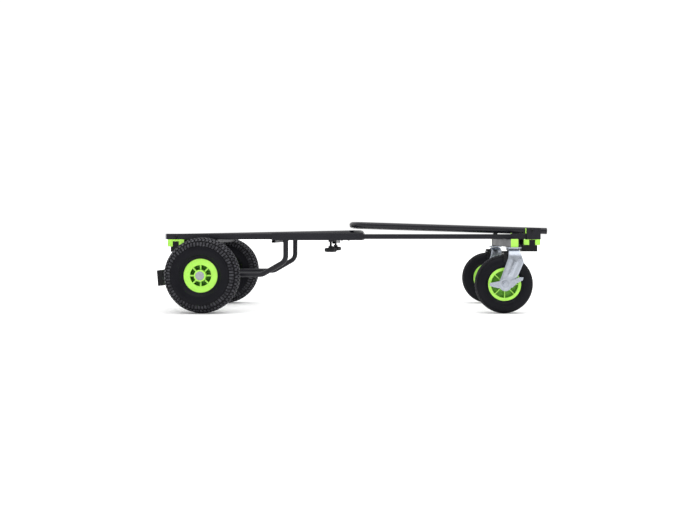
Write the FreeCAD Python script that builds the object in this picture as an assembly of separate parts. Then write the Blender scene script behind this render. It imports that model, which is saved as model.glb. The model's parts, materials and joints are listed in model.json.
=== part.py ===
import FreeCAD, Part
import math
import os
from collections import namedtuple

# Extendable transport cart, millimetres. +X points to the casters, +Y to the left side, +Z up.
# The origin is on the ground, about the middle of the cart's length and in the middle of its width.
# Each side's pieces are drawn on the left and mirrored, and each caster is drawn at its own kingpin.

Vector = FreeCAD.Vector

# Rails, from the foot end to the caster end
RAIL_Y = 150.0
RAIL_Z = 263.0
REAR_RAIL_SIZE = 20.0
REAR_RAIL_WALL = 1.2
REAR_RAIL_START = -649.0
SLEEVE_SIZE = 26.0
SLEEVE_START = -281.0
SLEEVE_END = 36.8
RIVET_XS = (-36.5, -12.5)
RIVET_RADIUS = 4.0
RIVET_HEIGHT = 1.8
RAIL_PLUG_LENGTH = 3.0
RAIL_PLUG_STEM = 12.0
FRONT_RAIL_SIZE = 17.0
FRONT_RAIL_WALL = 1.5
FRONT_RAIL_START = -142.5
FRONT_RAIL_END = 608.5
TUBE_CORNER = 2.0

RAIL_BOTTOM = RAIL_Z - REAR_RAIL_SIZE / 2
SLEEVE_BOTTOM = RAIL_Z - SLEEVE_SIZE / 2
FRONT_RAIL_TOP = RAIL_Z + FRONT_RAIL_SIZE / 2
FRONT_RAIL_BOTTOM = RAIL_Z - FRONT_RAIL_SIZE / 2
RAIL_OUTER_Y = RAIL_Y + REAR_RAIL_SIZE / 2
RAIL_INNER_Y = RAIL_Y - REAR_RAIL_SIZE / 2
SLEEVE_INNER_Y = RAIL_Y - SLEEVE_SIZE / 2

# Cross bars of the rear frame: by the handle locks, two under the rails, and one between the sleeves
CROSS_BAR_WIDTH = 12.0
CROSS_BAR_WALL = 1.2
LOCK_BAR_X = -581.0
LOCK_BAR_Z = (233.0, 251.2)
LOW_BAR_XS = (-479.5, -275.0)
LOW_BAR_BOTTOM = 241.0
SLEEVE_BAR_X = -64.0
SLEEVE_BAR_Z = (239.0, 258.0)

# Rests: pads under the rear handle's legs, and one pad under the front handle
REAR_REST_HALF = 10.0
REST_GAP = 0.3
FRONT_REST_X = (495.0, 508.5)
FRONT_REST_HALF = 8.0
FRONT_REST_TOP = 276.4

# Handles: one bent tube each, hinged near its own end of the frame
HANDLE_RADIUS = 11.0
HANDLE_WALL = 1.5
HANDLE_BEND = 62.0
PLUG_FLANGE = 3.0
PLUG_DEPTH = 18.0
FRONT_PIVOT = (627.5, 284.0)
FRONT_HANDLE_Y = 150.0
FRONT_HANDLE_BAR_X = -1.5
FRONT_HANDLE_STUB = 53.6
FRONT_HANDLE_SLOPE = 1.83
REAR_PIVOT = (-616.0, 262.0)
REAR_HANDLE_Y = 125.0
REAR_HANDLE_BAR_X = 26.0
REAR_HANDLE_STUB = 36.0
REAR_HANDLE_SLOPE = 1.15
FRONT_BOLT_RADIUS = 5.0
REAR_BOLT_RADIUS = 4.0
FRONT_HEAD_RADIUS = 6.5
FRONT_NUT_RADIUS = 7.5
REAR_HEAD_RADIUS = 7.0
PIVOT_HEAD_HEIGHT = 2.5
PIVOT_NUT_HEIGHT = 5.2
PIVOT_SIDE_GAP = 0.4
RUNNING_GAP = 0.05

# Bracket at each front handle pivot
CHEEK_START = 608.5
CHEEK_END = 657.4
CHEEK_TOP = 292.9
CHEEK_THICKNESS = 4.0
WEB_THICKNESS = 5.0
WEB_TOP = 272.0
CHEEK_GAP = 12.8
LINER_THICKNESS = 1.4
LINER_START = 604.5
LINER_END = 657.8
FRONT_BAR_X = 591.5
FRONT_BAR_WIDTH = 13.0

# Handle locks: a saddle under the pivot and a T-shaped latch under the saddle
Lock = namedtuple("Lock", "pivot_x direction channel_y inner_y outer_y foot_bottom bottom top")
FRONT_LOCK = Lock(FRONT_PIVOT[0], 1, FRONT_HANDLE_Y, 132.0, 168.0, 210.8, 233.5, RAIL_BOTTOM)
REAR_LOCK = Lock(REAR_PIVOT[0], -1, REAR_HANDLE_Y, 107.0, RAIL_OUTER_Y, 209.7, 228.0, RAIL_BOTTOM)
SADDLE_BACK = 29.0
SADDLE_FRONT = 28.5
CHANNEL_HALF = 11.8
TINE_HALF_LENGTH = 10.2
TINE_THICKNESS = 3.6
TINE_HEIGHT = 18.0
LATCH_GAP = 0.3
LATCH_BACK = 36.6
LATCH_FRONT = 18.8
LATCH_RECESS = 10.0
LATCH_CORNER = 4.0
SADDLE_LIP = 3.0

# Rear axle and wheels
AXLE_X = -513.0
AXLE_Z = 130.0
AXLE_RADIUS = 6.0
AXLE_NUT_RADIUS = 10.0
AXLE_NUT_HEIGHT = 2.6
AXLE_SPACER_RADIUS = 9.0
WHEEL_Y = 205.0
BRACE_RADIUS = 9.0
BRACE_WALL = 2.0
BRACE_Y = 151.0
BRACE_TOP_X = -233.0
BRACE_KNEE_Z = 177.6
BRACE_ELBOW_X = -315.5
BRACE_BEND = 32.0
GUSSET_OUTER_Y = 163.0
GUSSET_INNER_Y = 139.0
GUSSET_SIZE = 46.0
GUSSET_THICKNESS = 4.0
FOOT_BAR_X = -670.0
FOOT_BAR_Z = 118.3
FOOT_BAR_DEPTH = 19.0
FOOT_BAR_HEIGHT = 54.6
FOOT_BAR_TILT = 4.5
FOOT_BAR_HALF_LENGTH = 160.0
FOOT_BAR_WALL = 2.0

# Wheels: tyre radius and half width, rim radius and half width, hub and the pockets between its ribs
Wheel = namedtuple("Wheel", "tyre_radius tyre_half shoulder_radius shoulder_half bead_half rim_radius "
                            "face_half hub_radius hub_half pocket_radius rib_width "
                            "bearing_radius bore_radius bearing_width")
REAR_WHEEL = Wheel(130.0, 42.0, 118.0, 31.5, 27.0, 58.0, 26.0, 20.0, 38.0, 36.0, 5.0, 14.0, 6.0, 8.0)
CASTER_WHEEL = Wheel(100.0, 25.0, 94.5, 18.0, 19.0, 56.5, 19.0, 17.0, 27.0, 46.0, 3.0, 13.0, 5.0, 8.0)
RIB_COUNT = 8
TYRE_WALL = 6.0
RIM_BARREL_WALL = 6.0
RIM_WEB_HALF = 3.0
RIM_FACE_THICKNESS = 5.0
BEARING_INSET = 4.0
HUB_CAP_RADIUS = 15.0
HUB_CAP_DOME_RADIUS = 13.5
HUB_CAP_TOP_RADIUS = 9.5
HUB_CAP_STEP = 2.0
HUB_CAP_SKIRT = 1.2

# Casters: a fork that swivels on a kingpin under the cross tube
CROSS_TUBE_WIDTH = 25.0
CROSS_TUBE_HEIGHT = 28.0
CROSS_TUBE_WALL = 2.0
TUBE_CAP_THICKNESS = 4.0
TUBE_CAP_STEM = 12.0
KINGPIN_X = 556.0
CASTER_Y = 205.0
CROSS_TUBE_END_Y = CASTER_Y + 20.0
CASTER_TRAIL = 33.5
CASTER_AXLE_Z = 100.0
CROSS_TUBE_BOTTOM = FRONT_RAIL_BOTTOM - CROSS_TUBE_HEIGHT
PLATE_THICKNESS = 3.0
PLATE_BOTTOM = CROSS_TUBE_BOTTOM - PLATE_THICKNESS
RACE_HEIGHT = 3.8
CROWN_TOP = PLATE_BOTTOM - RACE_HEIGHT
PLATE_X = (-26.0, 22.0)
PLATE_Y = (-30.0, 19.0)
PLATE_BOLT_INSET = 6.0
PLATE_BOLT_INSET_Y = 5.5
PLATE_BOLT_RADIUS = 3.5
PLATE_BOLT_HEIGHT = 2.5
RACE_RADIUS = 17.0
FORK_THICKNESS = 3.0
FORK_HALF_WIDTH = 33.0
FORK_SHOULDER_Z = 196.0
CROWN_HALF_WIDTH = 22.0
KINGPIN_RADIUS = 6.0
KINGPIN_HEAD_RADIUS = 10.0
KINGPIN_HEAD_DROP = 7.0
FORK_BOSS_RADIUS = 22.0
SWIVEL_GAP = 0.3
SHOE_PIN_X = -18.0
SHOE_PIN_Z = 209.0
SHOE_PIN_RADIUS = 2.5
SHOE_PIN_HALF_LENGTH = 25.0
SHOE_X = (-37.5, -26.5)
SHOE_Z = (203.0, 206.0)
SHOE_FLANGE_Y = 28.6
SHOE_FLANGE_THICKNESS = 2.2
SHOE_FLANGE_BOTTOM = 176.5
SHOE_LUG_Y = (12.0, 18.0)
SHOE_LUG_RADIUS = 4.5
LEVER_Y = (-37.2, -34.0)
LEVER_BOSS_RADIUS = 22.0
CASTER_NUT_RADIUS = 9.5
CASTER_NUT_HEIGHT = 4.0
CASTER_BOLT_HEAD_RADIUS = 8.5
CASTER_BOLT_HEAD_HEIGHT = 6.0
CASTER_SPACER_RADIUS = 8.0

# Frame-lock knobs under the sleeves
KNOB_X = -75.5
KNOB_SCREW_RADIUS = 4.0
KNOB_TOP = 224.0
KNOB_BOTTOM = 208.5
KNOB_RADIUS = 21.5
KNOB_LOBES = 6
KNOB_FLUTE_RADIUS = 7.0
KNOB_FLUTE_REACH = 4.0
KNOB_COLLAR_RADIUS = 8.0
KNOB_COLLAR_HEIGHT = 6.5
KNOB_NUT_HEIGHT = 6.0


def box(x_range, y_range, z_range):
    size = [high - low for low, high in (x_range, y_range, z_range)]
    return Part.makeBox(size[0], size[1], size[2], Vector(x_range[0], y_range[0], z_range[0]))


def rod(radius, start, end):
    """A round bar from one point to another."""
    direction = Vector(*end) - Vector(*start)
    return Part.makeCylinder(radius, direction.Length, Vector(*start), direction)


def ring(outer_radius, inner_radius, start, end):
    return rod(outer_radius, start, end).cut(rod(inner_radius, start, end))


def mirrored(shape):
    """The same piece on the cart's other side."""
    return shape.mirror(Vector(0, 0, 0), Vector(0, 1, 0))


def both_sides(shape):
    return Part.makeCompound([shape, mirrored(shape)])


def plate(points, y_low, y_high):
    """A flat plate with an outline given as (x, z) points."""
    corners = [Vector(x, y_low, z) for x, z in points]
    face = Part.Face(Part.makePolygon(corners + corners[:1]))
    return face.extrude(Vector(0, y_high - y_low, 0))


def rounded_path(points, radius):
    """A wire through the points, with each inner corner turned by an arc."""
    edges = []
    start = points[0]
    for before, corner, after in zip(points, points[1:], points[2:]):
        to_before = (before - corner).normalize()
        to_after = (after - corner).normalize()
        half_angle = to_before.getAngle(to_after) / 2
        arc_start = corner + to_before * (radius / math.tan(half_angle))
        arc_end = corner + to_after * (radius / math.tan(half_angle))
        bisector = (to_before + to_after).normalize()
        middle = corner + bisector * (radius / math.sin(half_angle) - radius)
        edges.append(Part.LineSegment(start, arc_start).toShape())
        edges.append(Part.Arc(arc_start, middle, arc_end).toShape())
        start = arc_end
    edges.append(Part.LineSegment(start, points[-1]).toShape())
    return Part.Wire(edges)


def swept_circle(path, radius, start, direction):
    profile = Part.Wire(Part.makeCircle(radius, start, direction))
    return path.makePipeShell([profile], True, True)


def bent_tube(points, bend_radius, radius, wall):
    path = rounded_path(points, bend_radius)
    direction = points[1] - points[0]
    outside = swept_circle(path, radius, points[0], direction)
    inside = swept_circle(path, radius - wall, points[0], direction)
    return outside.cut(inside)


def edges_along(shape, axis):
    """The straight edges of a box that run along one axis."""
    return [edge for edge in shape.Edges if abs(getattr(edge.tangentAt(edge.FirstParameter), axis)) > 0.9]


def square_bar(length, width, height):
    """A bar along +X from the origin, centred on its axis, with rounded long edges."""
    bar = box((0, length), (-width / 2, width / 2), (-height / 2, height / 2))
    return bar.makeFillet(TUBE_CORNER, edges_along(bar, "x"))


def square_tube(length, width, height, wall):
    bore = box((0, length), (wall - width / 2, width / 2 - wall), (wall - height / 2, height / 2 - wall))
    return square_bar(length, width, height).cut(bore)


def along_rail(shape, start_x):
    shape.translate(Vector(start_x, RAIL_Y, RAIL_Z))
    return shape


def cross_tube(x, z, half_length, width, height, wall):
    """A square tube across the cart, centred at x and z."""
    tube = square_tube(2 * half_length, width, height, wall)
    tube.rotate(Vector(0, 0, 0), Vector(0, 0, 1), 90)
    tube.translate(Vector(x, -half_length, z))
    return tube


def knob_screw_hole():
    return rod(KNOB_SCREW_RADIUS + RUNNING_GAP, (KNOB_X, RAIL_Y, KNOB_TOP), (KNOB_X, RAIL_Y, RAIL_Z))


# Rear frame

def rear_rail():
    length = SLEEVE_END - REAR_RAIL_START
    rail = along_rail(square_tube(length, REAR_RAIL_SIZE, REAR_RAIL_SIZE, REAR_RAIL_WALL), REAR_RAIL_START)
    pivot_x, pivot_z = REAR_PIVOT
    bolt_hole = rod(REAR_BOLT_RADIUS, (pivot_x, RAIL_INNER_Y, pivot_z), (pivot_x, RAIL_OUTER_Y, pivot_z))
    return rail.cut(bolt_hole).cut(knob_screw_hole())


def sleeve():
    """Square sleeve over the rail's end, with the knob's nut welded under it."""
    length = SLEEVE_END - SLEEVE_START
    wall = (SLEEVE_SIZE - REAR_RAIL_SIZE) / 2
    tube = along_rail(square_tube(length, SLEEVE_SIZE, SLEEVE_SIZE, wall), SLEEVE_START)
    nut_bottom = SLEEVE_BOTTOM - KNOB_NUT_HEIGHT
    nut = rod(KNOB_COLLAR_RADIUS, (KNOB_X, RAIL_Y, nut_bottom), (KNOB_X, RAIL_Y, SLEEVE_BOTTOM))
    return tube.fuse(nut).cut(knob_screw_hole())


def sleeve_rivets():
    rivets = []
    for x in RIVET_XS:
        head = rod(RIVET_RADIUS, (x, RAIL_Y, SLEEVE_BOTTOM - RIVET_HEIGHT), (x, RAIL_Y, SLEEVE_BOTTOM))
        rivets.append(head)
        rivets.append(mirrored(head))
    return Part.makeCompound(rivets)


def rear_cross_bars():
    bars = []
    places = [(LOCK_BAR_X, LOCK_BAR_Z[0], LOCK_BAR_Z[1], RAIL_OUTER_Y),
              (LOW_BAR_XS[0], LOW_BAR_BOTTOM, RAIL_BOTTOM, RAIL_OUTER_Y),
              (LOW_BAR_XS[1], LOW_BAR_BOTTOM, SLEEVE_BOTTOM, RAIL_OUTER_Y),
              (SLEEVE_BAR_X, SLEEVE_BAR_Z[0], SLEEVE_BAR_Z[1], SLEEVE_INNER_Y)]
    for x, bottom, top, half_length in places:
        centre_z = (bottom + top) / 2
        bars.append(cross_tube(x, centre_z, half_length, CROSS_BAR_WIDTH, top - bottom, CROSS_BAR_WALL))
    return Part.makeCompound(bars)


def rail_end_plugs():
    inner_half = REAR_RAIL_SIZE / 2 - REAR_RAIL_WALL
    cap = square_bar(RAIL_PLUG_LENGTH, REAR_RAIL_SIZE, REAR_RAIL_SIZE)
    cap = along_rail(cap, REAR_RAIL_START - RAIL_PLUG_LENGTH)
    stem = box((REAR_RAIL_START, REAR_RAIL_START + RAIL_PLUG_STEM),
               (RAIL_Y - inner_half, RAIL_Y + inner_half), (RAIL_Z - inner_half, RAIL_Z + inner_half))
    return both_sides(cap.fuse(stem))


def foot_bar_blank(length, depth, height):
    """A solid bar in the foot bar's place and tilt."""
    bar = square_bar(length, depth, height)
    bar.rotate(Vector(0, 0, 0), Vector(0, 0, 1), 90)
    bar.translate(Vector(0, -length / 2, 0))
    bar.rotate(Vector(0, 0, 0), Vector(0, 1, 0), -FOOT_BAR_TILT)
    bar.translate(Vector(FOOT_BAR_X, 0, FOOT_BAR_Z))
    return bar


def foot_bar():
    length = 2 * FOOT_BAR_HALF_LENGTH
    bore_depth = FOOT_BAR_DEPTH - 2 * FOOT_BAR_WALL
    bore_height = FOOT_BAR_HEIGHT - 2 * FOOT_BAR_WALL
    outside = foot_bar_blank(length, FOOT_BAR_DEPTH, FOOT_BAR_HEIGHT)
    inside = foot_bar_blank(length + 10.0, bore_depth, bore_height)
    return outside.cut(inside)


def foot_bar_caps():
    cap_thickness = 3.0
    longer = foot_bar_blank(2 * (FOOT_BAR_HALF_LENGTH + cap_thickness), FOOT_BAR_DEPTH, FOOT_BAR_HEIGHT)
    reach = 100.0
    outer_end = box((FOOT_BAR_X - reach, FOOT_BAR_X + reach), (FOOT_BAR_HALF_LENGTH, 2 * FOOT_BAR_HALF_LENGTH),
                    (FOOT_BAR_Z - reach, FOOT_BAR_Z + reach))
    return both_sides(longer.common(outer_end))


def axle_brace():
    """Bent tube from the sleeve to the axle and back to the foot bar, with a post and two axle plates."""
    points = [Vector(BRACE_TOP_X, BRACE_Y, SLEEVE_BOTTOM), Vector(BRACE_TOP_X, BRACE_Y, BRACE_KNEE_Z),
              Vector(BRACE_ELBOW_X, BRACE_Y, AXLE_Z), Vector(FOOT_BAR_X, BRACE_Y, AXLE_Z)]
    brace = bent_tube(points, BRACE_BEND, BRACE_RADIUS, BRACE_WALL)
    post = ring(BRACE_RADIUS, BRACE_RADIUS - BRACE_WALL, (AXLE_X, BRACE_Y, AXLE_Z + BRACE_RADIUS - 2.0),
                (AXLE_X, BRACE_Y, RAIL_BOTTOM))
    brace = brace.fuse(post)
    half = GUSSET_SIZE / 2
    for y_low in (GUSSET_INNER_Y, GUSSET_OUTER_Y - GUSSET_THICKNESS):
        y_high = y_low + GUSSET_THICKNESS
        gusset = box((AXLE_X - half, AXLE_X + half), (y_low, y_high), (AXLE_Z - half, AXLE_Z + half))
        brace = brace.fuse(gusset)
    hole_start, hole_end = GUSSET_INNER_Y - 1.0, GUSSET_OUTER_Y + 1.0
    axle_hole = rod(AXLE_RADIUS, (AXLE_X, hole_start, AXLE_Z), (AXLE_X, hole_end, AXLE_Z))
    bar = foot_bar_blank(2 * FOOT_BAR_HALF_LENGTH, FOOT_BAR_DEPTH, FOOT_BAR_HEIGHT)
    return brace.cut(axle_hole).cut(bar)


def rear_axle():
    half_length = WHEEL_Y + REAR_WHEEL.hub_half - 1.0
    return rod(AXLE_RADIUS, (AXLE_X, -half_length, AXLE_Z), (AXLE_X, half_length, AXLE_Z))


def axle_nuts():
    """A nut outside each wheel's bearings and a spacer inside them."""
    bearing_end = WHEEL_Y + REAR_WHEEL.hub_half - BEARING_INSET
    nut_end = bearing_end + AXLE_NUT_HEIGHT
    nut = ring(AXLE_NUT_RADIUS, AXLE_RADIUS, (AXLE_X, bearing_end, AXLE_Z), (AXLE_X, nut_end, AXLE_Z))
    bearing_start = WHEEL_Y - REAR_WHEEL.hub_half + BEARING_INSET
    spacer_ends = [(AXLE_X, y, AXLE_Z) for y in (GUSSET_OUTER_Y, bearing_start)]
    spacer = ring(AXLE_SPACER_RADIUS, AXLE_RADIUS, spacer_ends[0], spacer_ends[1])
    return Part.makeCompound([nut, mirrored(nut), spacer, mirrored(spacer)])


def bearing_pair(wheel, x, y, z):
    """Two ball bearings, set a little inside the hub's ends."""
    rings = []
    for side in (-1, 1):
        outer_end = y + side * (wheel.hub_half - BEARING_INSET)
        inner_end = outer_end - side * wheel.bearing_width
        rings.append(ring(wheel.bearing_radius, wheel.bore_radius, (x, outer_end, z), (x, inner_end, z)))
    return rings


def rear_wheel_bearings():
    rings = []
    for side in (-1, 1):
        rings += bearing_pair(REAR_WHEEL, AXLE_X, side * WHEEL_Y, AXLE_Z)
    return Part.makeCompound(rings)


def rear_pivot_bolts():
    """Bolt through the rail and the handle, with a spacer between them and a nut inside."""
    x, z = REAR_PIVOT
    handle_inner = REAR_HANDLE_Y - HANDLE_RADIUS
    handle_outer = REAR_HANDLE_Y + HANDLE_RADIUS
    nut_end = handle_inner - PIVOT_SIDE_GAP - PIVOT_NUT_HEIGHT
    shank = rod(REAR_BOLT_RADIUS, (x, nut_end, z), (x, RAIL_OUTER_Y, z))
    head = rod(REAR_HEAD_RADIUS, (x, RAIL_OUTER_Y, z), (x, RAIL_OUTER_Y + PIVOT_HEAD_HEIGHT, z))
    nut = rod(REAR_HEAD_RADIUS, (x, nut_end, z), (x, handle_inner - PIVOT_SIDE_GAP, z))
    spacer = rod(REAR_HEAD_RADIUS + 1.0, (x, handle_outer + PIVOT_SIDE_GAP, z), (x, RAIL_INNER_Y, z))
    return both_sides(shank.fuse(head).fuse(nut).fuse(spacer))


def rear_rest_pads():
    """Pads on a cross bar that the folded rear handle's legs lie on."""
    start = LOW_BAR_XS[1] - CROSS_BAR_WIDTH / 2
    leg_rise = (start - REAR_PIVOT[0]) * math.tan(math.radians(REAR_HANDLE_SLOPE))
    top = REAR_PIVOT[1] - HANDLE_RADIUS + leg_rise - REST_GAP
    y_range = (REAR_HANDLE_Y - REAR_REST_HALF, REAR_HANDLE_Y + REAR_REST_HALF)
    return both_sides(box((start, start + CROSS_BAR_WIDTH), y_range, (SLEEVE_BOTTOM, top)))


# Handle locks

def lock_box(lock, u_range, y_range, z_range):
    """A box whose length is measured from the lock's pivot towards the handle's stub."""
    ends = sorted(lock.pivot_x + lock.direction * u for u in u_range)
    return box(ends, y_range, z_range)


def lock_saddle(lock):
    """Saddle under a pivot, open where the stub swings down, with a notch for each tine of the latch."""
    length = (-SADDLE_BACK, SADDLE_FRONT)
    saddle = lock_box(lock, length, (lock.inner_y, lock.outer_y), (lock.bottom, lock.top))
    channel_y = (lock.channel_y - CHANNEL_HALF, lock.channel_y + CHANNEL_HALF)
    saddle = saddle.cut(lock_box(lock, (-CHANNEL_HALF, SADDLE_FRONT), channel_y, (lock.bottom, lock.top)))
    saddle = saddle.cut(lock_box(lock, (-SADDLE_BACK, 0), channel_y, (lock.top - SADDLE_LIP, lock.top)))
    notch_half = TINE_HALF_LENGTH + LATCH_GAP
    notch_depth = TINE_THICKNESS + LATCH_GAP
    notch_top = lock.bottom + TINE_HEIGHT + LATCH_GAP
    for y_range in ((lock.inner_y, lock.inner_y + notch_depth), (lock.outer_y - notch_depth, lock.outer_y)):
        saddle = saddle.cut(lock_box(lock, (-notch_half, notch_half), y_range, (lock.bottom, notch_top)))
    return saddle


def latch(lock):
    """T-shaped pull: a foot under the saddle and two tines that run in the saddle's notches."""
    top = lock.bottom - LATCH_GAP
    foot = lock_box(lock, (-LATCH_BACK, LATCH_FRONT), (lock.inner_y, lock.outer_y), (lock.foot_bottom, top))
    foot = foot.makeFillet(LATCH_CORNER, edges_along(foot, "z"))
    channel_y = (lock.channel_y - CHANNEL_HALF, lock.channel_y + CHANNEL_HALF)
    foot = foot.cut(lock_box(lock, (-CHANNEL_HALF - 1.0, SADDLE_FRONT), channel_y, (top - LATCH_RECESS, top)))
    for y_low in (lock.inner_y, lock.outer_y - TINE_THICKNESS):
        y_range = (y_low, y_low + TINE_THICKNESS)
        tine = lock_box(lock, (-TINE_HALF_LENGTH, TINE_HALF_LENGTH), y_range, (top, lock.bottom + TINE_HEIGHT))
        foot = foot.fuse(tine)
    return foot


# Front frame

def front_rail():
    length = FRONT_RAIL_END - FRONT_RAIL_START
    tube = square_tube(length, FRONT_RAIL_SIZE, FRONT_RAIL_SIZE, FRONT_RAIL_WALL)
    return along_rail(tube, FRONT_RAIL_START)


def front_cross_bar():
    """Tube under both rails, just behind the handle locks."""
    height = FRONT_RAIL_BOTTOM - FRONT_LOCK.bottom
    half_length = RAIL_Y + FRONT_RAIL_SIZE / 2
    return cross_tube(FRONT_BAR_X, FRONT_LOCK.bottom + height / 2, half_length, FRONT_BAR_WIDTH, height,
                      FRONT_RAIL_WALL)


def caster_cross_tube():
    centre_z = CROSS_TUBE_BOTTOM + CROSS_TUBE_HEIGHT / 2
    return cross_tube(KINGPIN_X, centre_z, CROSS_TUBE_END_Y, CROSS_TUBE_WIDTH, CROSS_TUBE_HEIGHT,
                      CROSS_TUBE_WALL)


def caster_tube_caps():
    """Plastic caps in the ends of the caster cross tube."""
    centre_z = CROSS_TUBE_BOTTOM + CROSS_TUBE_HEIGHT / 2
    cap = square_bar(TUBE_CAP_THICKNESS, CROSS_TUBE_WIDTH, CROSS_TUBE_HEIGHT)
    half_width = CROSS_TUBE_WIDTH / 2 - CROSS_TUBE_WALL - RUNNING_GAP
    half_height = CROSS_TUBE_HEIGHT / 2 - CROSS_TUBE_WALL - RUNNING_GAP
    stem = box((-TUBE_CAP_STEM, 0), (-half_width, half_width), (-half_height, half_height))
    cap = cap.fuse(stem)
    cap.rotate(Vector(0, 0, 0), Vector(0, 0, 1), 90)
    cap.translate(Vector(KINGPIN_X, CROSS_TUBE_END_Y, centre_z))
    return both_sides(cap)


def handle_bracket():
    """Two cheeks joined by a web across the rail's end, open below for the stub."""
    bolt_x, bolt_z = FRONT_PIVOT
    outer = CHEEK_GAP + CHEEK_THICKNESS
    web_x = (CHEEK_START, CHEEK_START + WEB_THICKNESS)
    web = box(web_x, (RAIL_Y - outer, RAIL_Y + outer), (RAIL_BOTTOM, WEB_TOP))
    for y_low, y_high in ((-outer, -CHEEK_GAP), (CHEEK_GAP, outer)):
        cheek = box((CHEEK_START, CHEEK_END), (RAIL_Y + y_low, RAIL_Y + y_high), (RAIL_BOTTOM, CHEEK_TOP))
        web = web.fuse(cheek)
    return web.cut(rod(FRONT_BOLT_RADIUS, (bolt_x, RAIL_Y - outer, bolt_z), (bolt_x, RAIL_Y + outer, bolt_z)))


def bracket_liners():
    """Thin plastic liners inside the cheeks, which stand out a little at both ends."""
    bolt_x, bolt_z = FRONT_PIVOT
    liners = []
    above_rail = FRONT_RAIL_TOP + 2.5
    past_web = CHEEK_START + WEB_THICKNESS + 0.4
    liner_bottom = RAIL_BOTTOM + 1.0
    for y_low in (RAIL_Y - CHEEK_GAP, RAIL_Y + CHEEK_GAP - LINER_THICKNESS):
        y_high = y_low + LINER_THICKNESS
        outline = [(LINER_START, above_rail), (past_web, above_rail), (past_web, liner_bottom),
                   (LINER_END, liner_bottom), (LINER_END, CHEEK_TOP), (LINER_START, CHEEK_TOP)]
        liner = plate(outline, y_low, y_high)
        liner = liner.cut(rod(FRONT_BOLT_RADIUS, (bolt_x, y_low, bolt_z), (bolt_x, y_high, bolt_z)))
        liners += [liner, mirrored(liner)]
    return Part.makeCompound(liners)


def front_pivot_bolts():
    x, z = FRONT_PIVOT
    outer = CHEEK_GAP + CHEEK_THICKNESS
    shank = rod(FRONT_BOLT_RADIUS, (x, RAIL_Y - outer, z), (x, RAIL_Y + outer, z))
    nut = rod(FRONT_NUT_RADIUS, (x, RAIL_Y - outer - PIVOT_NUT_HEIGHT, z), (x, RAIL_Y - outer, z))
    head = rod(FRONT_HEAD_RADIUS, (x, RAIL_Y + outer, z), (x, RAIL_Y + outer + PIVOT_HEAD_HEIGHT, z))
    return both_sides(shank.fuse(nut).fuse(head))


def front_rest_pad():
    """Pad on the right front rail that the folded handle lies on."""
    y_range = (-RAIL_Y - FRONT_REST_HALF, -RAIL_Y + FRONT_REST_HALF)
    return box(FRONT_REST_X, y_range, (FRONT_RAIL_TOP, FRONT_REST_TOP))


# Handles

def in_handle_plane(shape, pivot, slope):
    """Tilt a level piece about the handle's pivot."""
    shape.rotate(Vector(pivot[0], 0, pivot[1]), Vector(0, 1, 0), slope)
    return shape


def handle(pivot, slope, leg_y, bar_x, stub, bolt_radius):
    """U-shaped tube with a short stub beyond each pivot."""
    x, z = pivot
    outward = math.copysign(1, x - bar_x)
    stub_end = x + outward * (stub - PLUG_FLANGE)
    points = [Vector(stub_end, leg_y, z), Vector(bar_x, leg_y, z), Vector(bar_x, -leg_y, z),
              Vector(stub_end, -leg_y, z)]
    tube = bent_tube(points, HANDLE_BEND, HANDLE_RADIUS, HANDLE_WALL)
    for side in (-1, 1):
        hole_ends = [side * (leg_y - HANDLE_RADIUS - 1.0), side * (leg_y + HANDLE_RADIUS + 1.0)]
        tube = tube.cut(rod(bolt_radius + RUNNING_GAP, (x, hole_ends[0], z), (x, hole_ends[1], z)))
    return in_handle_plane(tube, pivot, slope)


def handle_plugs(pivot, slope, leg_y, bar_x, stub):
    x, z = pivot
    outward = math.copysign(1, x - bar_x)
    tube_end = x + outward * (stub - PLUG_FLANGE)
    flange = rod(HANDLE_RADIUS, (tube_end, leg_y, z), (tube_end + outward * PLUG_FLANGE, leg_y, z))
    stem = rod(HANDLE_RADIUS - HANDLE_WALL, (tube_end, leg_y, z), (tube_end - outward * PLUG_DEPTH, leg_y, z))
    return in_handle_plane(both_sides(flange.fuse(stem)), pivot, slope)


def front_handle():
    return handle(FRONT_PIVOT, FRONT_HANDLE_SLOPE, FRONT_HANDLE_Y, FRONT_HANDLE_BAR_X, FRONT_HANDLE_STUB,
                  FRONT_BOLT_RADIUS)


def front_handle_plugs():
    return handle_plugs(FRONT_PIVOT, FRONT_HANDLE_SLOPE, FRONT_HANDLE_Y, FRONT_HANDLE_BAR_X, FRONT_HANDLE_STUB)


def rear_handle():
    return handle(REAR_PIVOT, -REAR_HANDLE_SLOPE, REAR_HANDLE_Y, REAR_HANDLE_BAR_X, REAR_HANDLE_STUB,
                  REAR_BOLT_RADIUS)


def rear_handle_plugs():
    return handle_plugs(REAR_PIVOT, -REAR_HANDLE_SLOPE, REAR_HANDLE_Y, REAR_HANDLE_BAR_X, REAR_HANDLE_STUB)


# Wheels, drawn about the Y axis through the origin

def revolved(edges):
    return Part.Face(Part.Wire(edges)).revolve(Vector(0, 0, 0), Vector(0, 1, 0), 360)


def tyre_section(radius, half_width, shoulder_radius, shoulder_half, bead_half, bead_radius):
    """Closed outline of a tyre: rounded tread, bulging side walls and a flat base, in the YZ plane."""
    bulge_radius = (shoulder_radius + bead_radius) / 2
    left_shoulder = Vector(0, -shoulder_half, shoulder_radius)
    right_shoulder = Vector(0, shoulder_half, shoulder_radius)
    left_bead = Vector(0, -bead_half, bead_radius)
    right_bead = Vector(0, bead_half, bead_radius)
    return [Part.Arc(left_shoulder, Vector(0, 0, radius), right_shoulder).toShape(),
            Part.Arc(right_shoulder, Vector(0, half_width, bulge_radius), right_bead).toShape(),
            Part.LineSegment(right_bead, left_bead).toShape(),
            Part.Arc(left_bead, Vector(0, -half_width, bulge_radius), left_shoulder).toShape()]


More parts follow.
